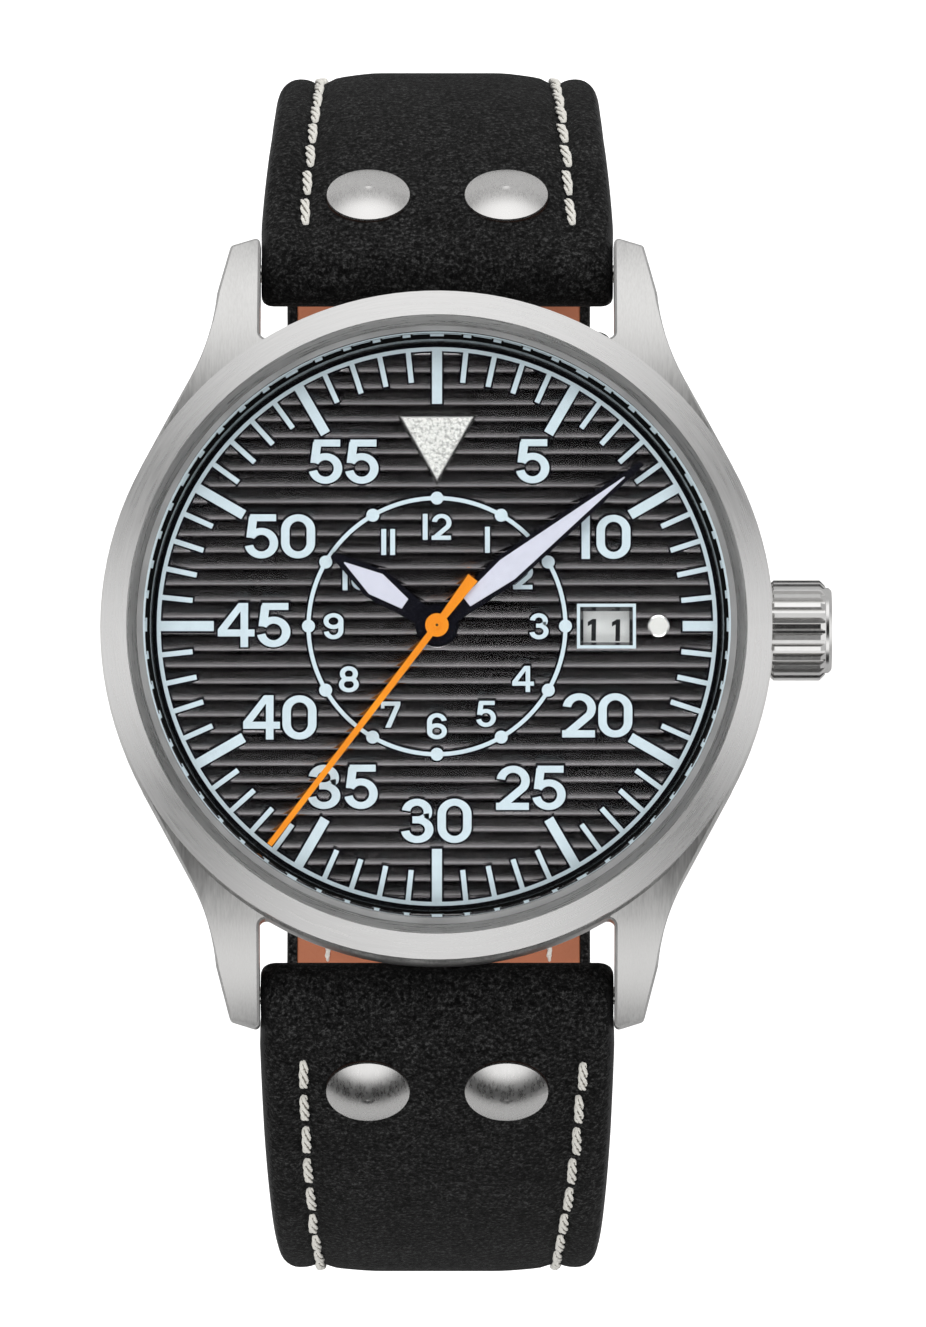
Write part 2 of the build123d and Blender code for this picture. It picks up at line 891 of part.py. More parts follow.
with BuildPart() as minute_hand:
    with BuildSketch(hand_plane(minute_hand_level, minutes_angle)):
        with BuildLine():
            Polyline(
                *hand_outline(
                    minute_hand_length,
                    minute_hand_widest_distance,
                    minute_hand_half_width,
                    minute_hand_root_half_width,
                ),
                close=True,
            )
        make_face()
        Circle(minute_hub_radius)
        Circle(cannon_radius + seat_gap, mode=Mode.SUBTRACT)
        with BuildLine():
            Polyline(
                *lume_outline(
                    minute_lume_start, minute_hand_widest_distance, minute_lume_end, 0
                ),
                close=True,
            )
        make_face(mode=Mode.SUBTRACT)
    extrude(amount=hand_thickness)
minute_hand.part.label = "minute_hand"
export_step(minute_hand.part, "parts/minute_hand.step")

with BuildPart() as minute_hand_lume:
    with BuildSketch(hand_plane(minute_hand_level, minutes_angle)):
        with BuildLine():
            Polyline(
                *lume_outline(
                    minute_lume_start,
                    minute_hand_widest_distance,
                    minute_lume_end,
                    lume_gap,
                ),
                close=True,
            )
        make_face()
    extrude(amount=hand_thickness + lume_proud)
minute_hand_lume.part.label = "minute_hand_lume"
export_step(minute_hand_lume.part, "parts/minute_hand_lume.step")

seconds_top = seconds_hand_level + seconds_thickness
with BuildPart() as seconds_hand:
    with BuildSketch(hand_plane(seconds_hand_level, seconds_angle)):
        with BuildLine():
            Polyline(
                (seconds_half_width, 0),
                (seconds_tip_half_width, seconds_hand_length),
                (-seconds_tip_half_width, seconds_hand_length),
                (-seconds_half_width, 0),
                (-seconds_tail_half_width, -seconds_tail_length),
                (seconds_tail_half_width, -seconds_tail_length),
                close=True,
            )
        make_face()
        Circle(seconds_hub_radius)
        Circle(seconds_arbor_radius + seat_gap, mode=Mode.SUBTRACT)
    extrude(amount=seconds_thickness)
    with BuildSketch(Plane.XY.offset(seconds_top)):
        Circle(seconds_boss_radius)
        Circle(seconds_pin_radius, mode=Mode.SUBTRACT)
    extrude(amount=seconds_thickness / 2)
seconds_hand.part.label = "seconds_hand"
export_step(seconds_hand.part, "parts/seconds_hand.step")

# Motion work under the dial
hour_wheel_level = plate_top - wheel_thickness - 2 * running_gap
minute_wheel_level = motion_floor + running_gap
cannon_pinion_top = hour_wheel_level - running_gap
hour_tube_top = hour_hand_level + hand_thickness
cannon_top = minute_hand_level + hand_thickness
with BuildPart() as hour_wheel:
    with BuildSketch(Plane.XY.offset(hour_wheel_level)):
        with BuildLine():
            Polyline(
                *gear_points(
                    hour_wheel_module, hour_wheel_teeth, minute_wheel_angle
                ),
                close=True,
            )
        make_face()
    extrude(amount=wheel_thickness)
    with BuildSketch(Plane.XY.offset(hour_wheel_level)):
        Circle(hour_tube_radius)
    extrude(amount=hour_tube_top - hour_wheel_level)
    with BuildSketch(Plane.XY.offset(hour_wheel_level)):
        Circle(hour_tube_bore_radius)
    extrude(amount=hour_tube_top - hour_wheel_level, mode=Mode.SUBTRACT)
hour_wheel.part.label = "hour_wheel"
export_step(hour_wheel.part, "parts/hour_wheel.step")

with BuildPart() as cannon_pinion:
    with BuildSketch(Plane.XY.offset(centre_wheel_level)):
        Circle(cannon_radius)
    extrude(amount=cannon_top - centre_wheel_level)
    with BuildSketch(Plane.XY.offset(minute_wheel_level)):
        with BuildLine():
            Polyline(
                *gear_points(cannon_module, cannon_teeth, minute_wheel_angle),
                close=True,
            )
        make_face()
    extrude(amount=cannon_pinion_top - minute_wheel_level)
    with BuildSketch(Plane.XY.offset(centre_wheel_level)):
        Circle(cannon_bore_radius)
    extrude(amount=cannon_top - centre_wheel_level, mode=Mode.SUBTRACT)
cannon_pinion.part.label = "cannon_pinion"
export_step(cannon_pinion.part, "parts/cannon_pinion.step")

minute_distance = gear_distance(cannon_module, cannon_teeth, minute_wheel_teeth)
minute_centre = polar(minute_distance, minute_wheel_angle)
minute_back = minute_wheel_angle + 180
with BuildPart() as minute_wheel:
    with BuildSketch(Plane.XY.offset(minute_wheel_level)):
        with BuildLine():
            Polyline(
                *gear_points(
                    cannon_module,
                    minute_wheel_teeth,
                    gap_phase(minute_wheel_teeth, minute_back),
                    minute_centre,
                ),
                close=True,
            )
        make_face()
    extrude(amount=wheel_thickness)
    with BuildSketch(Plane.XY.offset(minute_wheel_level)):
        with BuildLine():
            Polyline(
                *gear_points(
                    hour_wheel_module,
                    minute_pinion_teeth,
                    gap_phase(minute_pinion_teeth, minute_back),
                    minute_centre,
                ),
                close=True,
            )
        make_face()
    extrude(amount=plate_top - running_gap - minute_wheel_level)
    with BuildSketch(Plane.XY.offset(minute_wheel_level)):
        with Locations(minute_centre):
            Circle(minute_post_radius + running_gap)
    extrude(amount=plate_top - minute_wheel_level, mode=Mode.SUBTRACT)
minute_wheel.part.label = "minute_wheel"
export_step(minute_wheel.part, "parts/minute_wheel.step")

# Going train in the cavity: centre, third, fourth (seconds) and fifth wheels, and the rotor
third_distance = gear_distance(third_module, fourth_pinion_teeth, third_wheel_teeth)
third_centre = polar(third_distance, third_angle)
third_pinion_module = (
    2 * third_distance / (third_pinion_teeth + centre_wheel_teeth)
)
fifth_distance = gear_distance(fourth_module, fifth_pinion_teeth, fourth_wheel_teeth)
fifth_centre = polar(fifth_distance, fifth_angle)
rotor_distance = gear_distance(fifth_module, rotor_pinion_teeth, fifth_wheel_teeth)
rotor_centre = polar(rotor_distance, rotor_angle, fifth_centre)

with BuildPart() as centre_wheel:
    with BuildSketch(Plane.XY.offset(centre_wheel_level)):
        with BuildLine():
            Polyline(
                *gear_points(
                    third_pinion_module,
                    centre_wheel_teeth,
                    gap_phase(centre_wheel_teeth, third_angle),
                ),
                close=True,
            )
        make_face()
        Circle(cannon_radius + seat_gap, mode=Mode.SUBTRACT)
    extrude(amount=wheel_thickness)
centre_wheel.part.label = "centre_wheel"
export_step(centre_wheel.part, "parts/centre_wheel.step")

with BuildPart() as third_wheel:
    with BuildSketch(Plane.XY.offset(arbor_bottom)):
        with Locations(third_centre):
            Circle(seconds_arbor_radius)
    extrude(amount=arbor_top - arbor_bottom)
    with BuildSketch(Plane.XY.offset(third_wheel_level)):
        with BuildLine():
            Polyline(
                *gear_points(
                    third_module,
                    third_wheel_teeth,
                    gap_phase(third_wheel_teeth, third_angle + 180),
                    third_centre,
                ),
                close=True,
            )
        make_face()
    extrude(amount=wheel_thickness)
    with BuildSketch(Plane.XY.offset(centre_wheel_level - pinion_overlap)):
        with BuildLine():
            Polyline(
                *gear_points(
                    third_pinion_module,
                    third_pinion_teeth,
                    third_angle + 180,
                    third_centre,
                ),
                close=True,
            )
        make_face()
    extrude(amount=wheel_thickness + 2 * pinion_overlap)
third_wheel.part.label = "third_wheel"
export_step(third_wheel.part, "parts/third_wheel.step")

with BuildPart() as fourth_wheel:
    with BuildSketch(Plane.XY.offset(arbor_bottom)):
        Circle(seconds_arbor_radius)
    extrude(amount=seconds_top - arbor_bottom - seat_gap)
    with BuildSketch(Plane.XY.offset(fourth_wheel_level)):
        with BuildLine():
            Polyline(
                *gear_points(fourth_module, fourth_wheel_teeth, fifth_angle),
                close=True,
            )
        make_face()
    extrude(amount=wheel_thickness)
    with BuildSketch(Plane.XY.offset(third_wheel_level - pinion_overlap)):
        with BuildLine():
            Polyline(
                *gear_points(third_module, fourth_pinion_teeth, third_angle),
                close=True,
            )
        make_face()
    extrude(amount=wheel_thickness + 2 * pinion_overlap)
fourth_wheel.part.label = "fourth_wheel"
export_step(fourth_wheel.part, "parts/fourth_wheel.step")

with BuildPart() as fifth_wheel:
    with BuildSketch(Plane.XY.offset(arbor_bottom)):
        with Locations(fifth_centre):
            Circle(seconds_arbor_radius)
    extrude(amount=arbor_top - arbor_bottom)
    with BuildSketch(Plane.XY.offset(fifth_wheel_level)):
        with BuildLine():
            Polyline(
                *gear_points(
                    fifth_module, fifth_wheel_teeth, rotor_angle, fifth_centre
                ),
                close=True,
            )
        make_face()
    extrude(amount=fifth_wheel_thickness)
    with BuildSketch(Plane.XY.offset(fourth_wheel_level - pinion_overlap / 2)):
        with BuildLine():
            Polyline(
                *gear_points(
                    fourth_module,
                    fifth_pinion_teeth,
                    gap_phase(fifth_pinion_teeth, fifth_angle + 180),
                    fifth_centre,
                ),
                close=True,
            )
        make_face()
    extrude(amount=wheel_thickness + pinion_overlap)
fifth_wheel.part.label = "fifth_wheel"
export_step(fifth_wheel.part, "parts/fifth_wheel.step")

with BuildPart() as rotor:
    with BuildSketch(Plane.XY.offset(arbor_bottom)):
        with Locations(rotor_centre):
            Circle(rotor_arbor_radius)
    extrude(amount=arbor_top - arbor_bottom)
    with BuildSketch(Plane.XY.offset(fifth_wheel_level - pinion_overlap / 2)):
        with BuildLine():
            Polyline(
                *gear_points(
                    fifth_module,
                    rotor_pinion_teeth,
                    gap_phase(rotor_pinion_teeth, rotor_angle + 180),
                    rotor_centre,
                ),
                close=True,
            )
        make_face()
    extrude(amount=fifth_wheel_thickness + pinion_overlap)
    with BuildSketch(Plane.XY.offset(stator_level - pinion_overlap)):
        with Locations(rotor_centre):
            Circle(rotor_magnet_radius)
    extrude(amount=stator_thickness + 2 * pinion_overlap)
rotor.part.label = "rotor"
export_step(rotor.part, "parts/rotor.step")

# Setting lever: its pin rides in the stem's neck and swings as the crown is pulled
neck_middle = stem_neck_start + stem_neck_length / 2
lever_swing = degrees(asin(crown_pull / 2 / lever_arm))
lever_x = neck_middle + crown_pull / 2
lever_y = lever_arm * cos(radians(lever_swing))
lever_level = stem_height + stem_radius + running_gap
with BuildPart() as setting_lever:
    with BuildSketch(Plane.XY.offset(lever_level)):
        with Locations((lever_x, lever_y), (neck_middle, 0)):
            Circle(lever_half_width)
        make_hull()
    extrude(amount=lever_thickness)
    with BuildSketch(Plane.XY.offset(lever_level)):
        with Locations((neck_middle, 0)):
            Circle(lever_pin_radius)
    extrude(amount=-(stem_radius - stem_neck_radius))
    with BuildSketch(Plane.XY.offset(lever_level)):
        with Locations((lever_x, lever_y)):
            Circle(lever_pivot_radius)
    extrude(amount=cavity_top + pivot_blind_depth - running_gap - lever_level)
setting_lever.part.label = "setting_lever"
export_step(setting_lever.part, "parts/setting_lever.step")

# Main plate: dial side recesses above the floor, an open cavity with bosses below it
boss_places = [polar(boss_distance, angle) for angle in boss_angles]
battery_centre = polar(battery_distance, battery_angle)
with BuildPart() as main_plate:
    with BuildSketch(Plane.XY.offset(cavity_bottom)):
        Circle(movement_radius)
    extrude(amount=plate_top - cavity_bottom)
    with BuildSketch(Plane.XY.offset(plate_top - movement_flange_thickness)):
        Circle(movement_flange_radius)
    extrude(amount=movement_flange_thickness)
    with BuildSketch(Plane.XY.offset(cavity_bottom)):
        Circle(movement_radius - movement_wall)
        with Locations(*boss_places):
            Circle(boss_radius, mode=Mode.SUBTRACT)
    extrude(amount=cavity_height, mode=Mode.SUBTRACT)
    with BuildSketch(Plane.XY.offset(stator_level + stator_thickness)):
        with Locations((stator_post_x, stator_post_y), (-stator_post_x, stator_post_y)):
            Circle(stator_post_radius)
    extrude(amount=cavity_top - stator_level - stator_thickness)
    with BuildSketch(Plane.YZ.offset(stem_block_start)):
        with Locations((0, stem_height)):
            Rectangle(2 * stem_block_half_width, 2 * stem_block_half_width)
    extrude(amount=stem_block_length)
    with BuildSketch(Plane.XY.offset(date_ledge)):
        Circle(date_ring_radius + running_gap)
    extrude(amount=date_recess_depth, mode=Mode.SUBTRACT)
    with BuildSketch(Plane.XY.offset(motion_floor)):
        Circle(date_ring_ledge_radius)
    extrude(amount=motion_recess_depth, mode=Mode.SUBTRACT)
    with BuildSketch(Plane.XY.offset(motion_floor)):
        with Locations(minute_centre):
            Circle(minute_post_radius)
    extrude(amount=motion_recess_depth - 2 * running_gap)
    with BuildSketch(Plane.XY.offset(cavity_top)):
        Circle(cannon_radius + running_gap)
    extrude(amount=plate_floor, mode=Mode.SUBTRACT)
    with BuildSketch(Plane.XY.offset(cavity_top)):
        with Locations(third_centre, fifth_centre):
            Circle(seconds_arbor_radius + running_gap)
        with Locations(rotor_centre):
            Circle(rotor_arbor_radius + running_gap)
        with Locations((lever_x, lever_y)):
            Circle(lever_pivot_radius + running_gap)
    extrude(amount=pivot_blind_depth, mode=Mode.SUBTRACT)
    with BuildSketch(Plane.XY.offset(cavity_bottom)):
        with Locations(*boss_places):
            Circle(screw_radius + seat_gap)
    extrude(amount=screw_grip + running_gap, mode=Mode.SUBTRACT)
    with BuildSketch(Plane.YZ.offset(stem_inner_end - running_gap)):
        with Locations((0, stem_height)):
            Circle(stem_radius + running_gap)
    extrude(amount=movement_radius + overrun - stem_inner_end, mode=Mode.SUBTRACT)
main_plate.part.label = "main_plate"
export_step(main_plate.part, "parts/main_plate.step")

with BuildPart() as train_bridge:
    with BuildSketch(Plane.XY.offset(bridge_bottom)):
        Circle(bridge_radius)
        with Locations(battery_centre):
            Circle(battery_radius + 3 * running_gap, mode=Mode.SUBTRACT)
        with Locations((0, 0), third_centre, fifth_centre):
            Circle(seconds_arbor_radius + running_gap, mode=Mode.SUBTRACT)
        with Locations(rotor_centre):
            Circle(rotor_arbor_radius + running_gap, mode=Mode.SUBTRACT)
        with Locations(*boss_places):
            Circle(screw_radius + running_gap, mode=Mode.SUBTRACT)
    extrude(amount=bridge_thickness)
train_bridge.part.label = "train_bridge"
export_step(train_bridge.part, "parts/train_bridge.step")

with BuildPart() as bridge_screws:
    with BuildSketch(Plane.XY.offset(bridge_bottom)):
        with Locations(*boss_places):
            Circle(screw_radius)
    extrude(amount=bridge_thickness + screw_grip)
    with BuildSketch(Plane.XY.offset(bridge_bottom - screw_head_height)):
        with Locations(*boss_places):
            Circle(screw_head_radius)
            Rectangle(
                2 * screw_head_radius, screw_slot_width, mode=Mode.SUBTRACT
            )
    extrude(amount=screw_head_height / 2)
    with BuildSketch(Plane.XY.offset(bridge_bottom - screw_head_height / 2)):
        with Locations(*boss_places):
            Circle(screw_head_radius)
    extrude(amount=screw_head_height / 2)
bridge_screws.part.label = "bridge_screws"
export_step(bridge_screws.part, "parts/bridge_screws.step")

# Stepping motor: soft iron plate with a window, its core strip inside the coil
core_middle = stator_far - stator_core_width / 2
with BuildPart() as stator:
    with BuildSketch(Plane.XY.offset(stator_level)):
        with Locations((0, (stator_near + stator_far) / 2)):
            Rectangle(2 * stator_half_length, stator_far - stator_near)
        window_near = stator_near + stator_rotor_bar
        window_far = stator_far - stator_core_width
        with Locations((0, (window_near + window_far) / 2)):
            Rectangle(
                2 * (stator_half_length - stator_end_width),
                window_far - window_near,
                mode=Mode.SUBTRACT,
            )
        with Locations(rotor_centre):
            Circle(
                rotor_magnet_radius + 3 * running_gap, mode=Mode.SUBTRACT
            )
    extrude(amount=stator_thickness)
stator.part.label = "stator"
export_step(stator.part, "parts/stator.step")

with BuildPart() as coil:
    with BuildSketch(Plane.YZ.offset(-coil_length / 2)):
        with Locations((core_middle, stator_level + stator_thickness / 2)):
            Circle(coil_radius)
            Rectangle(
                stator_core_width + 2 * seat_gap,
                stator_thickness + 2 * seat_gap,
                mode=Mode.SUBTRACT,
            )
    extrude(amount=coil_length)
coil.part.label = "coil"
export_step(coil.part, "parts/coil.step")

battery_bottom = bridge_bottom + bridge_thickness / 2
with BuildPart() as battery:
    with BuildSketch(Plane.XY.offset(battery_bottom)):
        with Locations(battery_centre):
            Circle(battery_radius)
    extrude(amount=battery_height - battery_step)
    with BuildSketch(Plane.XY.offset(battery_bottom + battery_height - battery_step)):
        with Locations(battery_centre):
            Circle(battery_step_radius)
    extrude(amount=battery_step)
battery.part.label = "battery"
export_step(battery.part, "parts/battery.step")

with BuildPart() as circuit_board:
    with BuildSketch(Plane.XY.offset(cavity_top - board_thickness)):
        with Locations(((board_left + board_right) / 2, (board_near + board_far) / 2)):
            Rectangle(board_right - board_left, board_near - board_far)
    extrude(amount=board_thickness)
circuit_board.part.label = "circuit_board"
export_step(circuit_board.part, "parts/circuit_board.step")

with BuildPart() as oscillator:
    with BuildSketch(Plane.YZ.offset((board_left + board_right - can_length) / 2)):
        with Locations((can_distance, cavity_top - board_thickness - can_radius)):
            Circle(can_radius)
    extrude(amount=can_length)
oscillator.part.label = "oscillator"
export_step(oscillator.part, "parts/oscillator.step")

# Holder ring that centres the movement in the case and carries the dial
with BuildPart() as movement_holder:
    with BuildSketch(Plane.XZ):
        with BuildLine():
            Polyline(
                (movement_radius + holder_seat_gap, holder_bottom),
                (case_bore_radius - running_gap, holder_bottom),
                (case_bore_radius - running_gap, dial_seat),
                (movement_flange_radius + holder_seat_gap, dial_seat),
                (
                    movement_flange_radius + holder_seat_gap,
                    plate_top - movement_flange_thickness,
                ),
                (
                    movement_radius + holder_seat_gap,
                    plate_top - movement_flange_thickness,
                ),
                close=True,
            )
        make_face()
    revolve(axis=Axis.Z)
    with BuildSketch(Plane.YZ.offset(movement_radius - overrun)):
        with Locations((0, stem_height)):
            Circle(crown_tube_radius + running_gap)
    extrude(amount=case_bore_radius - movement_radius + 2 * overrun, mode=Mode.SUBTRACT)
    with BuildSketch(Plane.XY.offset(dial_seat)):
        with PolarLocations(dial_foot_distance, 2, start_angle=dial_foot_angle):
            Circle(dial_foot_radius + running_gap)
    extrude(amount=-(dial_foot_length + running_gap), mode=Mode.SUBTRACT)
movement_holder.part.label = "movement_holder"
export_step(movement_holder.part, "parts/movement_holder.step")

# Crown with a coarse fluted grip, its tube, its gasket and the stem it turns
stem_axis = Axis((0, 0, stem_height), (1, 0, 0))
crown_end = crown_start + crown_length
with BuildPart() as crown:
    with BuildSketch(Plane.YZ.offset(crown_start)):
        with BuildLine():
            Polyline(
                *tooth_points(
                    crown_teeth,
                    crown_radius,
                    crown_radius - crown_tooth_depth,
                    0,
                    crown_tooth_tip_share,
                    crown_tooth_root_share,
                    (0, stem_height),
                ),
                close=True,
            )
        make_face()
    extrude(amount=crown_length)
    with BuildSketch(Plane.XZ):
        with BuildLine():
            Polyline(
                (crown_start, stem_height),
                (crown_start, stem_height + crown_radius - crown_end_chamfer / 2),
                (crown_start + crown_end_chamfer / 2, stem_height + crown_radius),
                (crown_end - crown_end_chamfer, stem_height + crown_radius),
                (crown_end, stem_height + crown_radius - crown_end_chamfer),
                (crown_end, stem_height),
                close=True,
            )
        make_face()
    revolve(axis=stem_axis, mode=Mode.INTERSECT)
    with BuildSketch(Plane.YZ.offset(crown_end)):
        with Locations((0, stem_height)):
            Circle(crown_cap_radius)
    extrude(amount=crown_cap_height)
    chamfer(crown.edges().group_by(Axis.X)[-1], crown_cap_round)
    with BuildSketch(Plane.YZ.offset(crown_start)):
        with Locations((0, stem_height)):
            Circle(crown_socket_radius)
    extrude(amount=crown_socket_depth, mode=Mode.SUBTRACT)
crown.part.label = "crown"
export_step(crown.part, "parts/crown.step")

with BuildPart() as crown_tube:
    with BuildSketch(Plane.YZ.offset(crown_tube_start)):
        with Locations((0, stem_height)):
            Circle(crown_tube_radius - seat_gap)
            Circle(crown_tube_bore, mode=Mode.SUBTRACT)
    extrude(amount=crown_tube_end - crown_tube_start)
crown_tube.part.label = "crown_tube"
export_step(crown_tube.part, "parts/crown_tube.step")

with BuildPart() as crown_gasket:
    with BuildSketch(Plane.YZ.offset(crown_gasket_start)):
        with Locations((0, stem_height)):
            Circle(crown_socket_radius - running_gap)
            Circle(crown_tube_radius + running_gap, mode=Mode.SUBTRACT)
    extrude(amount=crown_gasket_length)
crown_gasket.part.label = "crown_gasket"
export_step(crown_gasket.part, "parts/crown_gasket.step")

stem_outer_end = crown_start + crown_socket_depth
with BuildPart() as stem:
    with BuildSketch(Plane.XZ):
        with BuildLine():
            Polyline(
                (stem_inner_end, stem_height),
                (stem_inner_end, stem_height + stem_radius),
                (stem_neck_start, stem_height + stem_radius),
                (stem_neck_start, stem_height + stem_neck_radius),
                (stem_neck_start + stem_neck_length, stem_height + stem_neck_radius),
                (stem_neck_start + stem_neck_length, stem_height + stem_radius),
                (stem_outer_end, stem_height + stem_radius),
                (stem_outer_end, stem_height),
                close=True,
            )
        make_face()
    revolve(axis=stem_axis)
stem.part.label = "stem"
export_step(stem.part, "parts/stem.step")

# Path of the strap loop. Distances run from the 12 o'clock spring bar along the mid line to the
# 6 o'clock one, and offsets point away from the wrist. The last arc's radius closes the loop.
loop_arcs = [
    (shoulder_radius, shoulder_turn),
    (side_radius, side_turn),
    (corner_radius, corner_turn),
]
open_reach = bar_distance
open_heading = bar_slope
for arc_radius, arc_turn in loop_arcs:
    open_reach += arc_radius * (
        sin(radians(open_heading + arc_turn)) - sin(radians(open_heading))
    )
    open_heading += arc_turn
base_radius = open_reach / sin(radians(base_turn))
loop_arcs.append((base_radius, base_turn))
half_loop = sum(arc_radius * radians(arc_turn) for arc_radius, arc_turn in loop_arcs)
loop_length = 2 * half_loop


def loop_place(distance):
    """Place and heading on the 12 o'clock half of the loop's mid line."""
    reach, height, heading = bar_distance, bar_height, bar_slope
    left = distance
    for arc_radius, arc_turn in loop_arcs:
        turn = min(arc_turn, degrees(left / arc_radius))
        after = heading + turn
        reach += arc_radius * (sin(radians(after)) - sin(radians(heading)))
        height += arc_radius * (cos(radians(after)) - cos(radians(heading)))
        heading = after
        left -= arc_radius * radians(turn)
        if turn < arc_turn:
            break
    return reach, height, heading


def loop_point(distance, offset):
    """Point (y, z) beside the mid line."""
    mirrored = distance > half_loop
    reach, height, heading = loop_place(
        loop_length - distance if mirrored else distance
    )
    reach += offset * sin(radians(heading))
    height += offset * cos(radians(heading))
    return (-reach if mirrored else reach, height)


def loop_normal(distance):
    """Direction (x, y, z) away from the wrist."""
    near = loop_point(distance, 0)
    far = loop_point(distance, overrun)
    return (0, (far[0] - near[0]) / overrun, (far[1] - near[1]) / overrun)


def strap_thickness(distance):
    """Full thickness, thickest at the spring bars and even beyond the sides."""
    along = min(distance, loop_length - distance)
    if along < strap_side_distance:
        share = along / strap_side_distance
        return strap_lug_thickness + share * (
            strap_side_thickness - strap_lug_thickness
        )
    share = (along - strap_side_distance) / (
        strap_tail_distance - strap_side_distance
    )
    return strap_side_thickness + min(share, 1) * (
        strap_tail_thickness - strap_side_thickness
    )


lane_shift = buckle_wrap_radius + leather_gap + strap_tail_thickness / 2
pivot_distance = short_strap_length
tail_end = pivot_distance - long_strap_tail


def long_lane(distance):
    """How far the long piece lies outside the loop's mid line."""
    share = (
        pivot_distance + lane_change_start + lane_change_length - distance
    ) / lane_change_length
    share = max(0, min(1, share))
    return lane_shift * (3 * share**2 - 2 * share**3)


def short_lane(distance):
    """The short piece stays on the mid line."""
    return 0


def long_thickness(distance):
    """The long piece thins like the short one and keeps its tail thickness."""
    if distance < half_loop:
        return strap_tail_thickness
    return strap_thickness(distance)


def strap_stations(start, end):
    """Distances that split a piece into short arcs, with the lining's setback at both ends."""
    way = 1 if end > start else -1
    first = start + way * lining_setback
    last = end - way * lining_setback
    count = max(1, round(abs(last - first) / strap_station_step))
    inner = [first + (last - first) * step / count for step in range(count + 1)]
    return [start, *inner, end]


def layer_outline(stations, lane, thickness, low_face, high_face):
    """Closed outline between two faces of a strap piece, as short arcs."""

    def edge_point(distance, face):
        half = thickness(distance) / 2
        faces = {"wrist": -half, "seam": lining_thickness - half, "outer": half}
        return loop_point(distance, lane(distance) + faces[face])

    for face in (low_face, high_face):
        for near, far in zip(stations, stations[1:]):
            ThreePointArc(
                edge_point(near, face),
                edge_point((near + far) / 2, face),
                edge_point(far, face),
            )
    for end in (stations[0], stations[-1]):
        Line(edge_point(end, low_face), edge_point(end, high_face))


loop_bottom = loop_point(half_loop, 0)[1]


def width_outline():
    """Front view of the strap's tapering width, from above the bars to below the loop."""
    top = bar_height + 2 * strap_lug_thickness
    low = loop_bottom - 4 * strap_lug_thickness
    waist = bar_height - strap_waist_drop
    base = bar_height - strap_base_drop
    half_widths = [
        (strap_width / 2, top),
        (strap_width / 2, bar_height),
        (strap_waist_width / 2, waist),
        (strap_buckle_width / 2, base),
        (strap_buckle_width / 2, low),
    ]
    left = [(-half, height) for half, height in reversed(half_widths)]
    Polyline(*half_widths, *left, close=True)


def strap_holes():
    """Distances of the round holes either side of the one in use."""
    used = pivot_distance + (tongue_slot_start + tongue_slot_end) / 2
    steps = [step for step in range(-holes_each_way, holes_each_way + 1) if step]
    return [used + step * hole_spacing for step in steps]


strap_depth = bar_distance + strap_side_thickness + side_radius
short_stations = strap_stations(0, pivot_distance)
long_stations = strap_stations(loop_length, tail_end)
hole_planes = []
for hole in strap_holes():
    hole_y, hole_z = loop_point(hole, long_lane(hole))
    hole_planes.append(
        Plane(origin=(0, hole_y, hole_z), x_dir=(1, 0, 0), z_dir=loop_normal(hole))
    )
slot_corners = [
    loop_point(pivot_distance + tongue_slot_start, 0),
    loop_point(pivot_distance + tongue_slot_start, 2 * lane_shift),
    loop_point(pivot_distance + tongue_slot_end, 2 * lane_shift),
    loop_point(pivot_distance + tongue_slot_end, 0),
]
rivet_planes = []
washer_planes = []
for rivet_at in (short_rivet_distance, loop_length - long_rivet_distance):
    half = strap_thickness(rivet_at) / 2
    for side in (-rivet_spread, rivet_spread):
        outer_y, outer_z = loop_point(rivet_at, half)
        inner_y, inner_z = loop_point(rivet_at, -half)
        normal = loop_normal(rivet_at)
        rivet_planes.append(
            Plane(origin=(side, outer_y, outer_z), x_dir=(1, 0, 0), z_dir=normal)
        )
        washer_planes.append(
            Plane(origin=(side, inner_y, inner_z), x_dir=(1, 0, 0), z_dir=normal)
        )
pivot_y, pivot_z = loop_point(pivot_distance, 0)
tail_y, tail_z = loop_point(tail_end, lane_shift)
tail_plane = Plane(
    origin=(0, tail_y, tail_z), x_dir=(1, 0, 0), z_dir=loop_normal(tail_end)
)


def tail_corner(way):
    """Leather cut away beside the tail's rounded point, on one side."""
    side = strap_buckle_width / 2
    bow = ThreePointArc(
        (way * side, tail_point_length),
        (way * tail_point_bulge_half_width, tail_point_bulge_distance),
        (way * tail_point_half_width, 0),
    )
    Polyline(
        bow @ 1,
        (way * tail_point_half_width, -overrun),
        (way * (side + overrun), -overrun),
        (way * (side + overrun), tail_point_length),
        bow @ 0,
    )


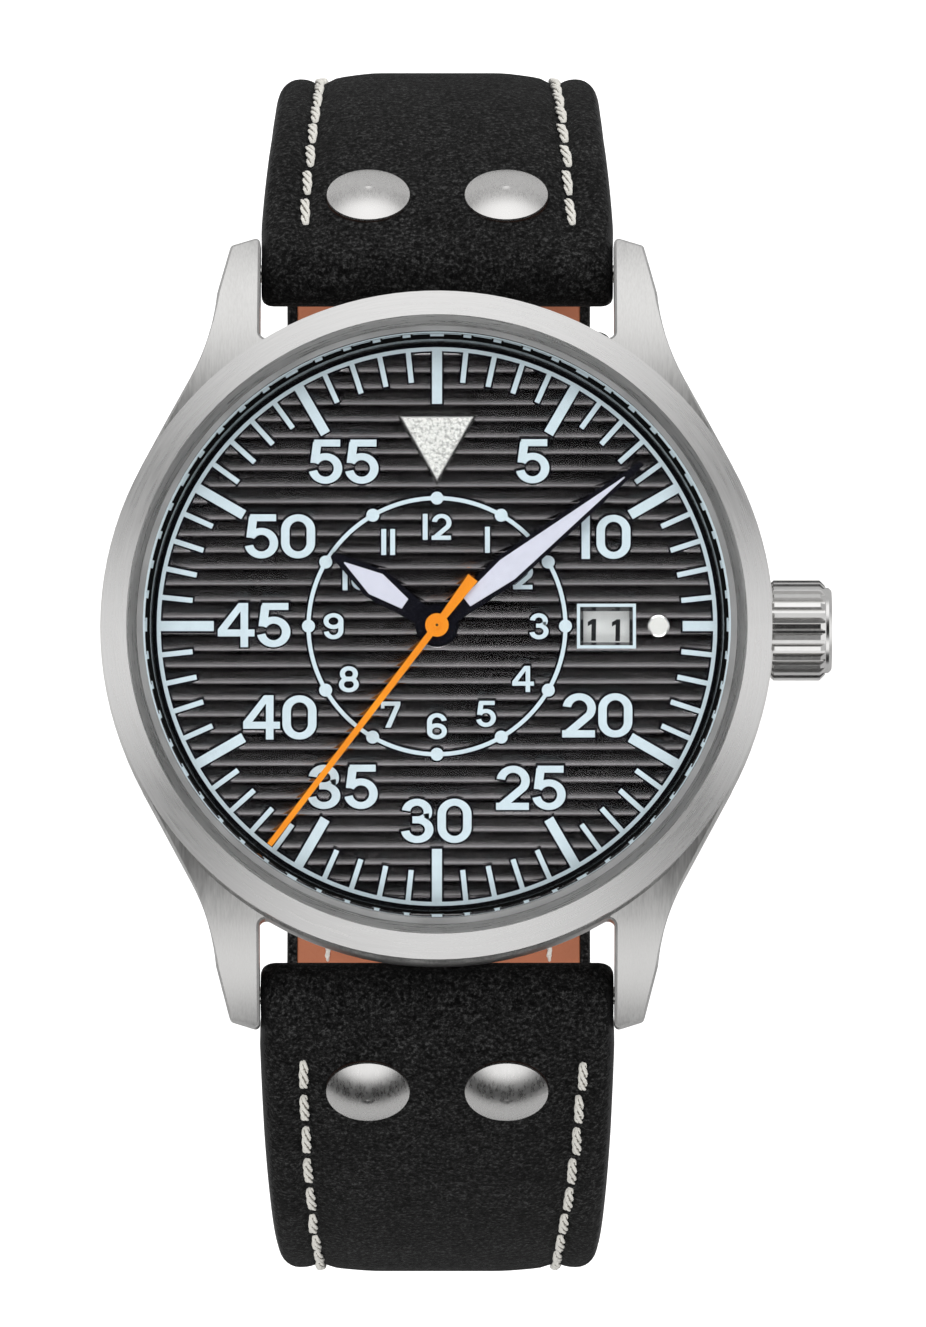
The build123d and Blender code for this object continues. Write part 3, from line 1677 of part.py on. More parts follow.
# Each strap piece is a thick outer leather wrapped round its bar and a thin lining. The outline
# in the YZ plane is cut to the tapering width.
with BuildPart() as strap_12_outer:
    with BuildSketch(Plane.YZ):
        with BuildLine():
            layer_outline(
                short_stations, short_lane, strap_thickness, "wrist", "outer"
            )
        make_face()
        with Locations((bar_distance, bar_height)):
            Circle(strap_lug_thickness / 2)
        with Locations((pivot_y, pivot_z)):
            Circle(buckle_wrap_radius)
        with BuildLine():
            layer_outline(
                short_stations[1:-1], short_lane, strap_thickness, "wrist", "seam"
            )
        make_face(mode=Mode.SUBTRACT)
        with Locations((bar_distance, bar_height), (pivot_y, pivot_z)):
            Circle(bar_tube_radius + running_gap, mode=Mode.SUBTRACT)
    extrude(amount=strap_width / 2, both=True)
    with BuildSketch(Plane.XZ):
        with BuildLine():
            width_outline()
        make_face()
    extrude(amount=strap_depth, both=True, mode=Mode.INTERSECT)
    with BuildSketch(Plane.YZ):
        with Locations((pivot_y, pivot_z)):
            Circle(2 * buckle_wrap_radius)
    extrude(amount=tongue_slot_width / 2, both=True, mode=Mode.SUBTRACT)
    for plane in rivet_planes[:2]:
        with BuildSketch(plane):
            Circle(rivet_shank_radius + running_gap)
        extrude(amount=2 * strap_lug_thickness, both=True, mode=Mode.SUBTRACT)
strap_12_outer.part.label = "strap_12_outer"
export_step(strap_12_outer.part, "parts/strap_12_outer.step")

with BuildPart() as strap_12_lining:
    with BuildSketch(Plane.YZ):
        with BuildLine():
            layer_outline(
                short_stations[1:-1], short_lane, strap_thickness, "wrist", "seam"
            )
        make_face()
    extrude(amount=strap_width / 2, both=True)
    with BuildSketch(Plane.XZ):
        with BuildLine():
            width_outline()
        make_face()
    extrude(amount=strap_depth, both=True, mode=Mode.INTERSECT)
    for plane in rivet_planes[:2]:
        with BuildSketch(plane):
            Circle(rivet_shank_radius + running_gap)
        extrude(amount=2 * strap_lug_thickness, both=True, mode=Mode.SUBTRACT)
    for plane in washer_planes[:2]:
        with BuildSketch(plane):
            Circle(washer_radius + running_gap)
        extrude(amount=-washer_thickness, mode=Mode.SUBTRACT)
strap_12_lining.part.label = "strap_12_lining"
export_step(strap_12_lining.part, "parts/strap_12_lining.step")

with BuildPart() as strap_6_outer:
    with BuildSketch(Plane.YZ):
        with BuildLine():
            layer_outline(long_stations, long_lane, long_thickness, "wrist", "outer")
        make_face()
        with Locations((-bar_distance, bar_height)):
            Circle(strap_lug_thickness / 2)
            Circle(bar_tube_radius + running_gap, mode=Mode.SUBTRACT)
        with BuildLine():
            layer_outline(
                long_stations[1:], long_lane, long_thickness, "wrist", "seam"
            )
        make_face(mode=Mode.SUBTRACT)
    extrude(amount=strap_width / 2, both=True)
    with BuildSketch(Plane.XZ):
        with BuildLine():
            width_outline()
        make_face()
    extrude(amount=strap_depth, both=True, mode=Mode.INTERSECT)
    with BuildSketch(Plane.YZ):
        Polygon(*slot_corners, align=None)
    extrude(amount=tongue_slot_width / 2, both=True, mode=Mode.SUBTRACT)
    for plane in rivet_planes[2:]:
        with BuildSketch(plane):
            Circle(rivet_shank_radius + running_gap)
        extrude(amount=2 * strap_lug_thickness, both=True, mode=Mode.SUBTRACT)
    for plane in hole_planes:
        with BuildSketch(plane):
            Circle(hole_radius)
        extrude(amount=strap_tail_thickness, both=True, mode=Mode.SUBTRACT)
    with BuildSketch(tail_plane):
        for way in (1, -1):
            with BuildLine():
                tail_corner(way)
            make_face()
    extrude(amount=strap_lug_thickness, both=True, mode=Mode.SUBTRACT)
strap_6_outer.part.label = "strap_6_outer"
export_step(strap_6_outer.part, "parts/strap_6_outer.step")

with BuildPart() as strap_6_lining:
    with BuildSketch(Plane.YZ):
        with BuildLine():
            layer_outline(
                long_stations[1:], long_lane, long_thickness, "wrist", "seam"
            )
        make_face()
    extrude(amount=strap_width / 2, both=True)
    with BuildSketch(Plane.XZ):
        with BuildLine():
            width_outline()
        make_face()
    extrude(amount=strap_depth, both=True, mode=Mode.INTERSECT)
    with BuildSketch(Plane.YZ):
        Polygon(*slot_corners, align=None)
    extrude(amount=tongue_slot_width / 2, both=True, mode=Mode.SUBTRACT)
    for plane in rivet_planes[2:]:
        with BuildSketch(plane):
            Circle(rivet_shank_radius + running_gap)
        extrude(amount=2 * strap_lug_thickness, both=True, mode=Mode.SUBTRACT)
    for plane in washer_planes[2:]:
        with BuildSketch(plane):
            Circle(washer_radius + running_gap)
        extrude(amount=-washer_thickness, mode=Mode.SUBTRACT)
    for plane in hole_planes:
        with BuildSketch(plane):
            Circle(hole_radius)
        extrude(amount=strap_tail_thickness, both=True, mode=Mode.SUBTRACT)
    with BuildSketch(tail_plane):
        for way in (1, -1):
            with BuildLine():
                tail_corner(way)
            make_face()
    extrude(amount=strap_lug_thickness, both=True, mode=Mode.SUBTRACT)
strap_6_lining.part.label = "strap_6_lining"
export_step(strap_6_lining.part, "parts/strap_6_lining.step")

# Domed rivets through the leather, with a flat washer on the wrist side of each
shank_length = strap_thickness(long_rivet_distance) + washer_thickness
dome_rise = rivet_dome - rivet_rim
dome_curve = (rivet_radius**2 + dome_rise**2) / (2 * dome_rise)
dome_half_angle = degrees(asin(rivet_radius / dome_curve)) / 2
with BuildPart() as rivet:
    with BuildSketch(Plane.XZ):
        with BuildLine():
            dome = ThreePointArc(
                (rivet_radius, rivet_rim),
                (
                    dome_curve * sin(radians(dome_half_angle)),
                    rivet_dome - dome_curve * (1 - cos(radians(dome_half_angle))),
                ),
                (0, rivet_dome),
            )
            Polyline(
                dome @ 1,
                (0, -shank_length),
                (rivet_shank_radius, -shank_length),
                (rivet_shank_radius, 0),
                (rivet_radius, 0),
                dome @ 0,
            )
        make_face()
    revolve(axis=Axis.Z)

with BuildPart() as strap_rivets:
    with Locations(*rivet_planes):
        add(rivet.part)
strap_rivets.part.label = "strap_rivets"
export_step(strap_rivets.part, "parts/strap_rivets.step")

with BuildPart() as rivet_washers:
    for plane in washer_planes:
        with BuildSketch(plane):
            Circle(washer_radius)
            Circle(rivet_shank_radius + seat_gap, mode=Mode.SUBTRACT)
        extrude(amount=-washer_thickness)
rivet_washers.part.label = "rivet_washers"
export_step(rivet_washers.part, "parts/rivet_washers.step")

# Buckle frame: two arms from the pivot bar to a round crossbar outside the long piece
crossbar_station = pivot_distance + buckle_distance
crossbar_offset = (
    long_lane(crossbar_station)
    + long_thickness(crossbar_station) / 2
    + leather_gap
    + crossbar_radius
)
crossbar_y, crossbar_z = loop_point(crossbar_station, crossbar_offset)
arm_inner = buckle_inner_width / 2
arm_outer = arm_inner + buckle_arm_width
with BuildPart() as buckle_frame:
    for way in (1, -1):
        with BuildSketch(Plane.YZ.offset(way * arm_inner)):
            with Locations((pivot_y, pivot_z)):
                Circle(buckle_boss_radius)
            with Locations((crossbar_y, crossbar_z)):
                Circle(crossbar_radius)
            make_hull()
        extrude(amount=way * buckle_arm_width)
    with BuildSketch(Plane.YZ):
        with Locations((crossbar_y, crossbar_z)):
            Circle(crossbar_radius)
    extrude(amount=arm_inner, both=True)
    with BuildSketch(Plane.YZ):
        with Locations((pivot_y, pivot_z)):
            Circle(tip_pin_radius + running_gap)
    extrude(
        amount=arm_inner + tip_pin_depth + running_gap, both=True, mode=Mode.SUBTRACT
    )
buckle_frame.part.label = "buckle_frame"
export_step(buckle_frame.part, "parts/buckle_frame.step")

# Tongue: an eye round the bar, then a bent pin through the slot to rest on the crossbar
tongue_half = tongue_thickness / 2
tongue_level = crossbar_offset + crossbar_radius + tongue_rest_gap + tongue_half
tongue_joints = [
    loop_point(pivot_distance + tongue_half, tongue_half),
    loop_point(pivot_distance + tongue_rise_distance, 3 * tongue_level / 4),
    loop_point(pivot_distance + tongue_level_distance, tongue_level),
    loop_point(pivot_distance + tongue_end_distance, tongue_level),
]
with BuildPart() as buckle_tongue:
    with BuildSketch(Plane.YZ):
        for near, far in zip(tongue_joints, tongue_joints[1:]):
            with BuildLine():
                Line(near, far)
            with Locations(((near[0] + far[0]) / 2, (near[1] + far[1]) / 2)):
                SlotCenterToCenter(
                    hypot(far[0] - near[0], far[1] - near[1]),
                    tongue_thickness,
                    rotation=degrees(asin((near[1] - far[1]) / hypot(far[0] - near[0], far[1] - near[1]))),
                )
        with Locations((pivot_y, pivot_z)):
            Circle(tongue_eye_radius)
            Circle(bar_tube_radius + running_gap, mode=Mode.SUBTRACT)
    extrude(amount=tongue_width / 2, both=True)
buckle_tongue.part.label = "buckle_tongue"
export_step(buckle_tongue.part, "parts/buckle_tongue.step")

# Leather keepers: closed bands round both strap pieces
keeper_low = -strap_tail_thickness / 2 - leather_gap
keeper_high = lane_shift + strap_tail_thickness / 2 + leather_gap
keeper_opening = keeper_high - keeper_low


def keeper_plane(reach):
    """Plane across the strap at a reach from the buckle's pivot."""
    distance = pivot_distance - reach
    y, z = loop_point(distance, (keeper_low + keeper_high) / 2)
    normal = loop_normal(distance)
    return Plane(origin=(0, y, z), x_dir=(1, 0, 0), z_dir=(0, -normal[2], normal[1]))


with BuildPart() as fixed_keeper:
    with BuildSketch(keeper_plane(fixed_keeper_distance)):
        RectangleRounded(
            strap_buckle_width + 2 * (leather_gap + keeper_thickness),
            keeper_opening + 2 * keeper_thickness,
            keeper_round,
        )
        Rectangle(
            strap_buckle_width + 2 * leather_gap, keeper_opening, mode=Mode.SUBTRACT
        )
    extrude(amount=keeper_width / 2, both=True)
fixed_keeper.part.label = "fixed_keeper"
export_step(fixed_keeper.part, "parts/fixed_keeper.step")

with BuildPart() as free_keeper:
    with BuildSketch(keeper_plane(free_keeper_distance)):
        RectangleRounded(
            strap_buckle_width + 2 * (leather_gap + keeper_thickness),
            keeper_opening + 2 * keeper_thickness,
            keeper_round,
        )
        Rectangle(
            strap_buckle_width + 2 * leather_gap, keeper_opening, mode=Mode.SUBTRACT
        )
    extrude(amount=keeper_width / 2, both=True)
free_keeper.part.label = "free_keeper"
export_step(free_keeper.part, "parts/free_keeper.step")

# Spring bars: a tube in the strap's end and a sprung tip at each end, in the lugs and buckle
bar_places = {
    "spring_bar_12": (bar_distance, bar_height, lug_inner),
    "spring_bar_6": (-bar_distance, bar_height, lug_inner),
    "buckle_bar": (pivot_y, pivot_z, arm_inner),
}
for bar_name, (bar_y, bar_z, wall) in bar_places.items():
    with BuildPart() as bar_tube:
        with BuildSketch(Plane.YZ):
            with Locations((bar_y, bar_z)):
                Circle(bar_tube_radius)
                Circle(bar_bore_radius, mode=Mode.SUBTRACT)
        extrude(amount=wall - bar_tube_setback, both=True)
    bar_tube.part.label = bar_name
    export_step(bar_tube.part, f"parts/{bar_name}.step")
    for side_name, way in (("left", -1), ("right", 1)):
        flange_start = wall - tip_flange_setback
        with BuildPart() as bar_tip:
            with BuildSketch(Plane.YZ.offset(way * flange_start)):
                with Locations((bar_y, bar_z)):
                    Circle(tip_flange_radius)
            extrude(amount=way * tip_flange_width)
            with BuildSketch(Plane.YZ.offset(way * flange_start)):
                with Locations((bar_y, bar_z)):
                    Circle(tip_pin_radius)
            extrude(amount=way * (tip_flange_setback + tip_pin_depth))
            with BuildSketch(Plane.YZ.offset(way * flange_start)):
                with Locations((bar_y, bar_z)):
                    Circle(tip_plunger_radius)
            extrude(amount=-way * (bar_tube_setback + tip_plunger_length))
        bar_tip.part.label = f"{bar_name}_tip_{side_name}"
        export_step(bar_tip.part, f"parts/{bar_name}_tip_{side_name}.step")
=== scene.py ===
import bpy
import bmesh
import math
import random
import numpy as np
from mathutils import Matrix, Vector


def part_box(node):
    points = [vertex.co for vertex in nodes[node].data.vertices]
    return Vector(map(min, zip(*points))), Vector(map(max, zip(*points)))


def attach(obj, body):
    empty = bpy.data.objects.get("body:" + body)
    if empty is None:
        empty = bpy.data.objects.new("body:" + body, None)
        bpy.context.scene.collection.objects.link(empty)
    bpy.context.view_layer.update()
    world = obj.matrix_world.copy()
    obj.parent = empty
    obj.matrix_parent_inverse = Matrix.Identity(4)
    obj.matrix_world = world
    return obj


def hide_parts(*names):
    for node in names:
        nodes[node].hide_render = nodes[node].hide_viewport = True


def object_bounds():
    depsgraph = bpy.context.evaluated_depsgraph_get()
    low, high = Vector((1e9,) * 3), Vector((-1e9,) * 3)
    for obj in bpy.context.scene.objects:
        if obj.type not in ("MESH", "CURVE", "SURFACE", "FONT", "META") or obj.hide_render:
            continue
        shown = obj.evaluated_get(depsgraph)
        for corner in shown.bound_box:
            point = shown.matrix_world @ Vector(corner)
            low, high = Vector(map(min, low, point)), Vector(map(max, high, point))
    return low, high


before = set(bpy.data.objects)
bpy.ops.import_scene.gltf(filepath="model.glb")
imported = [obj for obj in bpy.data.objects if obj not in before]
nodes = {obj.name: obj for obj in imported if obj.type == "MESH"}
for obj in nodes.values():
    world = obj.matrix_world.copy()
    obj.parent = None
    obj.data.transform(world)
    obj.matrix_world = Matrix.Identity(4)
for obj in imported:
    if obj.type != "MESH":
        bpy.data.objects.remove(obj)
cad_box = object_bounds()
scene = bpy.context.scene
MM = 0.001


# Materials
class Graph:
    """The nodes of a material or of the world, all in metres."""

    def __init__(self, tree):
        self.tree = tree

    def node(self, kind, settings=None, **inputs):
        """A new node. Its inputs are given by name, or by number as i0, i1 and so on."""
        made = self.tree.nodes.new(kind)
        for key, value in (settings or {}).items():
            setattr(made, key, value)
        for key, value in inputs.items():
            index = int(key[1:]) if key[0] == "i" and key[1:].isdigit() else key.replace("_", " ")
            socket = made.inputs[index]
            if isinstance(value, bpy.types.NodeSocket):
                self.tree.links.new(value, socket)
            else:
                socket.default_value = value
        return made

    def math(self, operation, a, b=0.0, c=0.0):
        return self.node("ShaderNodeMath", {"operation": operation}, i0=a, i1=b, i2=c).outputs[0]

    def times(self, a, b):
        return self.math("MULTIPLY", a, b)

    def vector(self, operation, a, output=0, **inputs):
        return self.node("ShaderNodeVectorMath", {"operation": operation}, i0=a, **inputs).outputs[output]

    def stretch(self, vector, scale):
        return self.vector("MULTIPLY", vector, i1=scale)

    def place(self, kind="Object"):
        return self.node("ShaderNodeTexCoord").outputs[kind]

    def split(self, vector):
        return self.node("ShaderNodeSeparateXYZ", None, i0=vector).outputs

    def join(self, x, y, z=0.0):
        return self.node("ShaderNodeCombineXYZ", None, X=x, Y=y, Z=z).outputs[0]

    def from_axis(self, parts):
        """The way from the Z axis, as a vector and as a length."""
        flat = self.join(parts["X"], parts["Y"])
        return flat, self.vector("LENGTH", flat, "Value")

    def noise(self, vector, scale, detail=2.0, roughness=0.5):
        inputs = {"Vector": vector, "Scale": scale, "Detail": detail, "Roughness": roughness}
        return self.node("ShaderNodeTexNoise", None, **inputs).outputs["Fac"]

    def ramp(self, value, *stops):
        """Colours along a value. Each stop is a position and a colour or a level of grey."""
        made = self.node("ShaderNodeValToRGB", None, Fac=value)
        band = made.color_ramp
        while len(band.elements) < len(stops):
            band.elements.new(0.5)
        for element, (position, colour) in zip(band.elements, stops):
            element.position = position
            element.color = (*(colour if isinstance(colour, tuple) else grey(colour)), 1.0)
        return made.outputs["Color"]

    def spread(self, value, low, high, at_low=0.3, at_high=0.7):
        """Maps at_low to low and at_high to high, and stays between them."""
        made = self.node("ShaderNodeMapRange", None, Value=value)
        for key, number in (("From Min", at_low), ("From Max", at_high), ("To Min", low), ("To Max", high)):
            made.inputs[key].default_value = number
        return made.outputs["Result"]

    def mix(self, kind, share, a, b):
        """Goes from a to b by the share."""
        first, output = {"FLOAT": (2, 0), "VECTOR": (4, 1), "RGBA": (6, 2)}[kind]
        ends = {f"i{first}": a, f"i{first + 1}": b}
        return self.node("ShaderNodeMix", {"data_type": kind}, i0=share, **ends).outputs[output]


class Look(Graph):
    """One material: a Principled shader and the nodes that feed it."""

    def __init__(self, name, **values):
        self.material = bpy.data.materials.new(name)
        self.material.use_nodes = True
        super().__init__(self.material.node_tree)
        self.shader = self.tree.nodes["Principled BSDF"]
        for key, value in values.items():
            self.shader.inputs[key.replace("_", " ")].default_value = value

    def feed(self, key, socket):
        self.tree.links.new(socket, self.shader.inputs[key])

    def bump(self, height, distance, strength):
        inputs = {"Height": height, "Distance": distance, "Strength": strength}
        self.feed("Normal", self.node("ShaderNodeBump", None, **inputs).outputs["Normal"])

    def finish(self, tone, shades, worn, rough, *relief):
        """Feeds colour, roughness and, where it is given, fine relief."""
        self.feed("Base Color", self.ramp(tone, *shades))
        self.feed("Roughness", self.spread(worn, *rough))
        if relief:
            self.bump(*relief)
        return self.material


def grey(value):
    return (value, value, value)


def tint(colour, share):
    return tuple(min(1.0, c * share) for c in colour)


def brushed(name, way, colour, roughness, variation=0.08):
    """Brushed metal. way is "ring" for strokes round the Z axis, or "long" for strokes along Y."""
    look = Look(name, Metallic=1.0, Anisotropic=0.55 if way == "ring" else 0.0)
    place = look.place()
    if way == "ring":
        parts = look.split(place)
        flat, reach = look.from_axis(parts)
        turn = look.split(look.vector("NORMALIZE", flat))
        level = look.math("ADD", look.times(reach, 9000.0), look.times(parts["Z"], 7000.0))
        strokes = look.join(level, look.times(turn["X"], 7.0), look.times(turn["Y"], 7.0))
        around = look.node("ShaderNodeTangent", {"direction_type": "RADIAL", "axis": "Z"}).outputs[0]
        look.feed("Tangent", around)
        look.shader.inputs["Anisotropic Rotation"].default_value = 0.25
    else:
        strokes = look.stretch(place, (9000.0, 260.0, 5000.0))
    fine = look.noise(strokes, 1.0, 3.0, 0.6)
    broad = look.noise(look.stretch(strokes, grey(0.12)), 1.0)
    mixed = look.math("ADD", look.times(fine, 0.7), look.times(broad, 0.3))
    shades = (0.3, tint(colour, 1 - variation)), (0.7, tint(colour, 1 + variation))
    return look.finish(mixed, shades, mixed, (roughness - 0.07, roughness + 0.09), fine, 4e-6, 0.6)


def polished(name, colour, roughness):
    """Polished metal with faint handling marks."""
    look = Look(name, Metallic=1.0)
    place = look.place()
    cloud = look.noise(place, 900.0, 3.0)
    hair = look.noise(look.stretch(place, (6000.0, 900.0, 3000.0)), 1.0)
    shades = (0.3, tint(colour, 0.96)), (0.7, colour)
    return look.finish(cloud, shades, hair, (roughness, roughness + 0.04, 0.35, 0.7), hair, 4e-7, 0.4)


def plastic(name, colour, roughness, grain=3e-6, coat=0.0):
    """Moulded plastic, rubber or lacquer with a fine grain."""
    look = Look(name, Coat_Weight=coat, Coat_Roughness=0.08)
    place = look.place()
    fine = look.noise(place, 6000.0, 3.0, 0.6)
    cloud = look.noise(place, 350.0)
    shades = (0.35, tint(colour, 0.86)), (0.65, tint(colour, 1.1))
    return look.finish(cloud, shades, fine, (roughness - 0.06, roughness + 0.08), fine, grain, 0.7)


def lume(name, colour):
    """Luminous paint: a matt pale fill with a sandy surface."""
    look = Look(name, Specular_IOR_Level=0.3)
    place = look.place()
    fine = look.noise(place, 14000.0, 3.0, 0.65)
    cloud = look.noise(place, 1800.0)
    return look.finish(cloud, ((0.3, tint(colour, 0.93)), (0.7, colour)), fine, (0.55, 0.8), fine, 9e-6, 0.8)


# The dial's ribs, as the CAD part has them, in metres
RIB_WIDTH = 1.025 * MM
RIB_HEIGHT = 0.16 * MM
RIB_CURVE = (RIB_WIDTH**2 + RIB_HEIGHT**2) / (2 * RIB_HEIGHT)
RIB_FIELD = 17.45 * MM
RIB_FLOOR = 6.59 * MM
FACING_UP = 0.93


def ribbed_metal(name, colour, roughness):
    """Black plated metal under a thin lacquer, shaded by the true curve of the dial's ribs."""
    look = Look(name, Metallic=1.0, Coat_Weight=0.05, Coat_Roughness=0.05)
    place = look.place()
    parts = look.split(place)
    rib = look.math("FRACT", look.math("MULTIPLY_ADD", parts["Y"], 1 / RIB_WIDTH, 0.5))
    lean = look.times(look.math("SUBTRACT", rib, 1.0), RIB_WIDTH / RIB_CURVE)
    rise = look.math("SQRT", look.math("SUBTRACT", 1.0, look.times(lean, lean)))
    to_world = {"vector_type": "NORMAL", "convert_from": "OBJECT", "convert_to": "WORLD"}
    arched = look.node("ShaderNodeVectorTransform", to_world, Vector=look.join(0.0, lean, rise)).outputs[0]
    surface = look.node("ShaderNodeNewGeometry").outputs
    flat_face = look.math("GREATER_THAN", look.split(surface["True Normal"])["Z"], FACING_UP)
    on_ribs = look.times(look.math("LESS_THAN", look.from_axis(parts)[1], RIB_FIELD), flat_face)
    on_ribs = look.times(on_ribs, look.math("GREATER_THAN", parts["Z"], RIB_FLOOR))
    look.feed("Normal", look.mix("VECTOR", on_ribs, surface["Normal"], arched))
    fine = look.noise(look.stretch(place, (260.0, 5000.0, 2000.0)), 1.0)
    cloud = look.noise(place, 700.0)
    shades = (0.3, tint(colour, 0.93)), (0.7, colour)
    return look.finish(cloud, shades, fine, (roughness - 0.02, roughness + 0.03))


def nubuck(name):
    """Black buffed leather: matt, finely speckled with dark pores, smooth on the rolled sides."""
    look = Look(name, Specular_IOR_Level=0.14, Sheen_Roughness=0.5, Sheen_Weight=0.015)
    place = look.place()
    speck = look.noise(place, 4300.0, 4.0, 0.75)
    pore = look.noise(place, 2700.0, 3.0, 0.7)
    cloud = look.noise(place, 260.0, 3.0)
    side = look.split(look.place("Normal"))["X"]
    ragged = look.math("ADD", look.math("ABSOLUTE", side), look.spread(pore, -0.12, 0.12))
    edge = look.spread(ragged, 0.0, 1.0, 0.66, 0.84)
    nap = look.ramp(speck, (0.37, 0.001), (0.46, 0.006), (0.53, 0.0135), (0.64, 0.056))
    shade = look.times(look.spread(cloud, 0.8, 1.25), look.spread(pore, 0.08, 1.0, 0.38, 0.47))
    toned = look.vector("SCALE", nap, Scale=shade)
    look.feed("Base Color", look.mix("RGBA", edge, toned, (0.009, 0.009, 0.0095, 1.0)))
    look.feed("Roughness", look.spread(edge, 0.9, 0.5, 0.0, 1.0))
    height = look.math("ADD", speck, look.times(pore, 0.8))
    look.bump(look.times(height, look.spread(edge, 1.0, 0.1, 0.0, 1.0)), 1.2e-4, 1.0)
    return look.material


def lining_leather(name, colour):
    """Smooth calf lining with a faint pebble grain."""
    look = Look(name, Specular_IOR_Level=0.35)
    place = look.place()
    pebbles = look.node("ShaderNodeTexVoronoi", {"feature": "DISTANCE_TO_EDGE"}, Vector=place, Scale=1700.0)
    fine = look.noise(place, 6000.0, 3.0)
    cloud = look.noise(place, 180.0, 3.0)
    crease = look.spread(pebbles.outputs["Distance"], 0.0, 1.0, 0.0, 0.12)
    height = look.math("ADD", crease, look.times(fine, 0.4))
    shades = (0.3, tint(colour, 0.8)), (0.7, tint(colour, 1.15))
    return look.finish(cloud, shades, fine, (0.5, 0.68), height, 1.2e-5, 0.7)


def thread(name, colour):
    """Waxed thread with fibres along its twist."""
    look = Look(name, Sheen_Roughness=0.4, Sheen_Weight=0.25)
    fibre = look.noise(look.stretch(look.place(), (22000.0, 9000.0, 9000.0)), 1.0, 3.0, 0.7)
    shades = (0.35, tint(colour, 0.74)), (0.6, colour)
    return look.finish(fibre, shades, fibre, (0.55, 0.8), fibre, 2.5e-5, 0.7)


def sandy_metal(name, colour):
    """Applied markers: small bright facets on the triangle, a plain face on the round one near 3."""
    look = Look(name, Metallic=0.25)
    place = look.place()
    grained = look.math("LESS_THAN", look.split(place)["X"], 0.005)
    cells = look.node("ShaderNodeTexVoronoi", None, Vector=place, Scale=5200.0).outputs["Distance"]
    fine = look.math("MAXIMUM", look.noise(place, 4600.0, 3.0, 0.6), look.math("SUBTRACT", 0.56, grained))
    height = look.times(look.math("ADD", cells, look.times(fine, 0.5)), grained)
    return look.finish(fine, ((0.38, tint(colour, 0.55)), (0.54, colour)), fine, (0.3, 0.48), height, 8e-5, 0.9)


def crystal(name):
    """Clear crystal that lets the light of lamps and of pale surfaces through to the dial."""
    look = Look(name, Base_Color=(0.985, 0.99, 0.99, 1.0), Roughness=0.0, IOR=1.45, Transmission_Weight=1.0)
    look.feed("Roughness", look.spread(look.noise(look.place(), 60.0), 0.0, 0.012, 0.4, 0.8))
    rays = look.node("ShaderNodeLightPath").outputs
    through = look.math("MAXIMUM", rays["Is Shadow Ray"], rays["Is Diffuse Ray"])
    clear = look.node("ShaderNodeBsdfTransparent", None, Color=(0.97, 0.98, 0.98, 1.0)).outputs[0]
    mixed = look.node("ShaderNodeMixShader", None, i0=through, i1=look.shader.outputs[0], i2=clear).outputs[0]
    look.tree.links.new(mixed, look.tree.nodes["Material Output"].inputs["Surface"])
    return look.material


def wound(name, colour):
    """Enamelled copper wire wound in close turns along X, with its colour darkened between the turns as painted
    shade.
    """
    look = Look(name, Metallic=1.0, Coat_Weight=0.6, Coat_Roughness=0.15)
    bands = {"wave_type": "BANDS", "bands_direction": "X"}
    turns = look.node("ShaderNodeTexWave", bands, Vector=look.place(), Scale=2600.0, Distortion=0.6).outputs["Fac"]
    # The dark low end of these shades is painted shade between the turns.
    shades = (0.1, tint(colour, 0.45)), (0.6, colour)
    return look.finish(turns, shades, turns, (0.22, 0.4, 0.0, 1.0), turns, 2e-5, 0.8)


def printed_flange(name, paint):
    """Black lacquer with a thin pale ring and a block at each minute printed on its upper face."""
    look = Look(name, Coat_Weight=0.6, Coat_Roughness=0.08)
    place = look.place()
    parts = look.split(place)
    reach = look.from_axis(parts)[1]
    turn = look.math("ARCTAN2", parts["Y"], parts["X"])

    def near(value, centre, half):
        return look.math("LESS_THAN", look.math("ABSOLUTE", look.math("SUBTRACT", value, centre)), half)

    def marks(count, half):
        step = look.times(turn, count / (2 * math.pi))
        return near(look.math("FRACT", look.math("ADD", step, 0.5)), 0.5, half)

    minutes = look.math("MAXIMUM", marks(60, 0.13), marks(12, 0.045))
    blocks = look.times(minutes, near(reach, 0.01811, 0.00009))
    dashes = look.times(look.math("SUBTRACT", 1.0, marks(60, 0.2)), near(reach, 0.018175, 0.00002))
    top = look.math("GREATER_THAN", parts["Z"], 0.0079)
    mask = look.times(look.math("MAXIMUM", blocks, dashes), top)
    fine = look.noise(place, 6000.0)
    look.feed("Base Color", look.ramp(mask, (0.4, 0.006), (0.6, paint)))
    look.feed("Roughness", look.math("ADD", look.spread(fine, 0.14, 0.24), look.times(mask, 0.3)))
    look.bump(fine, 4e-7, 0.7)
    return look.material


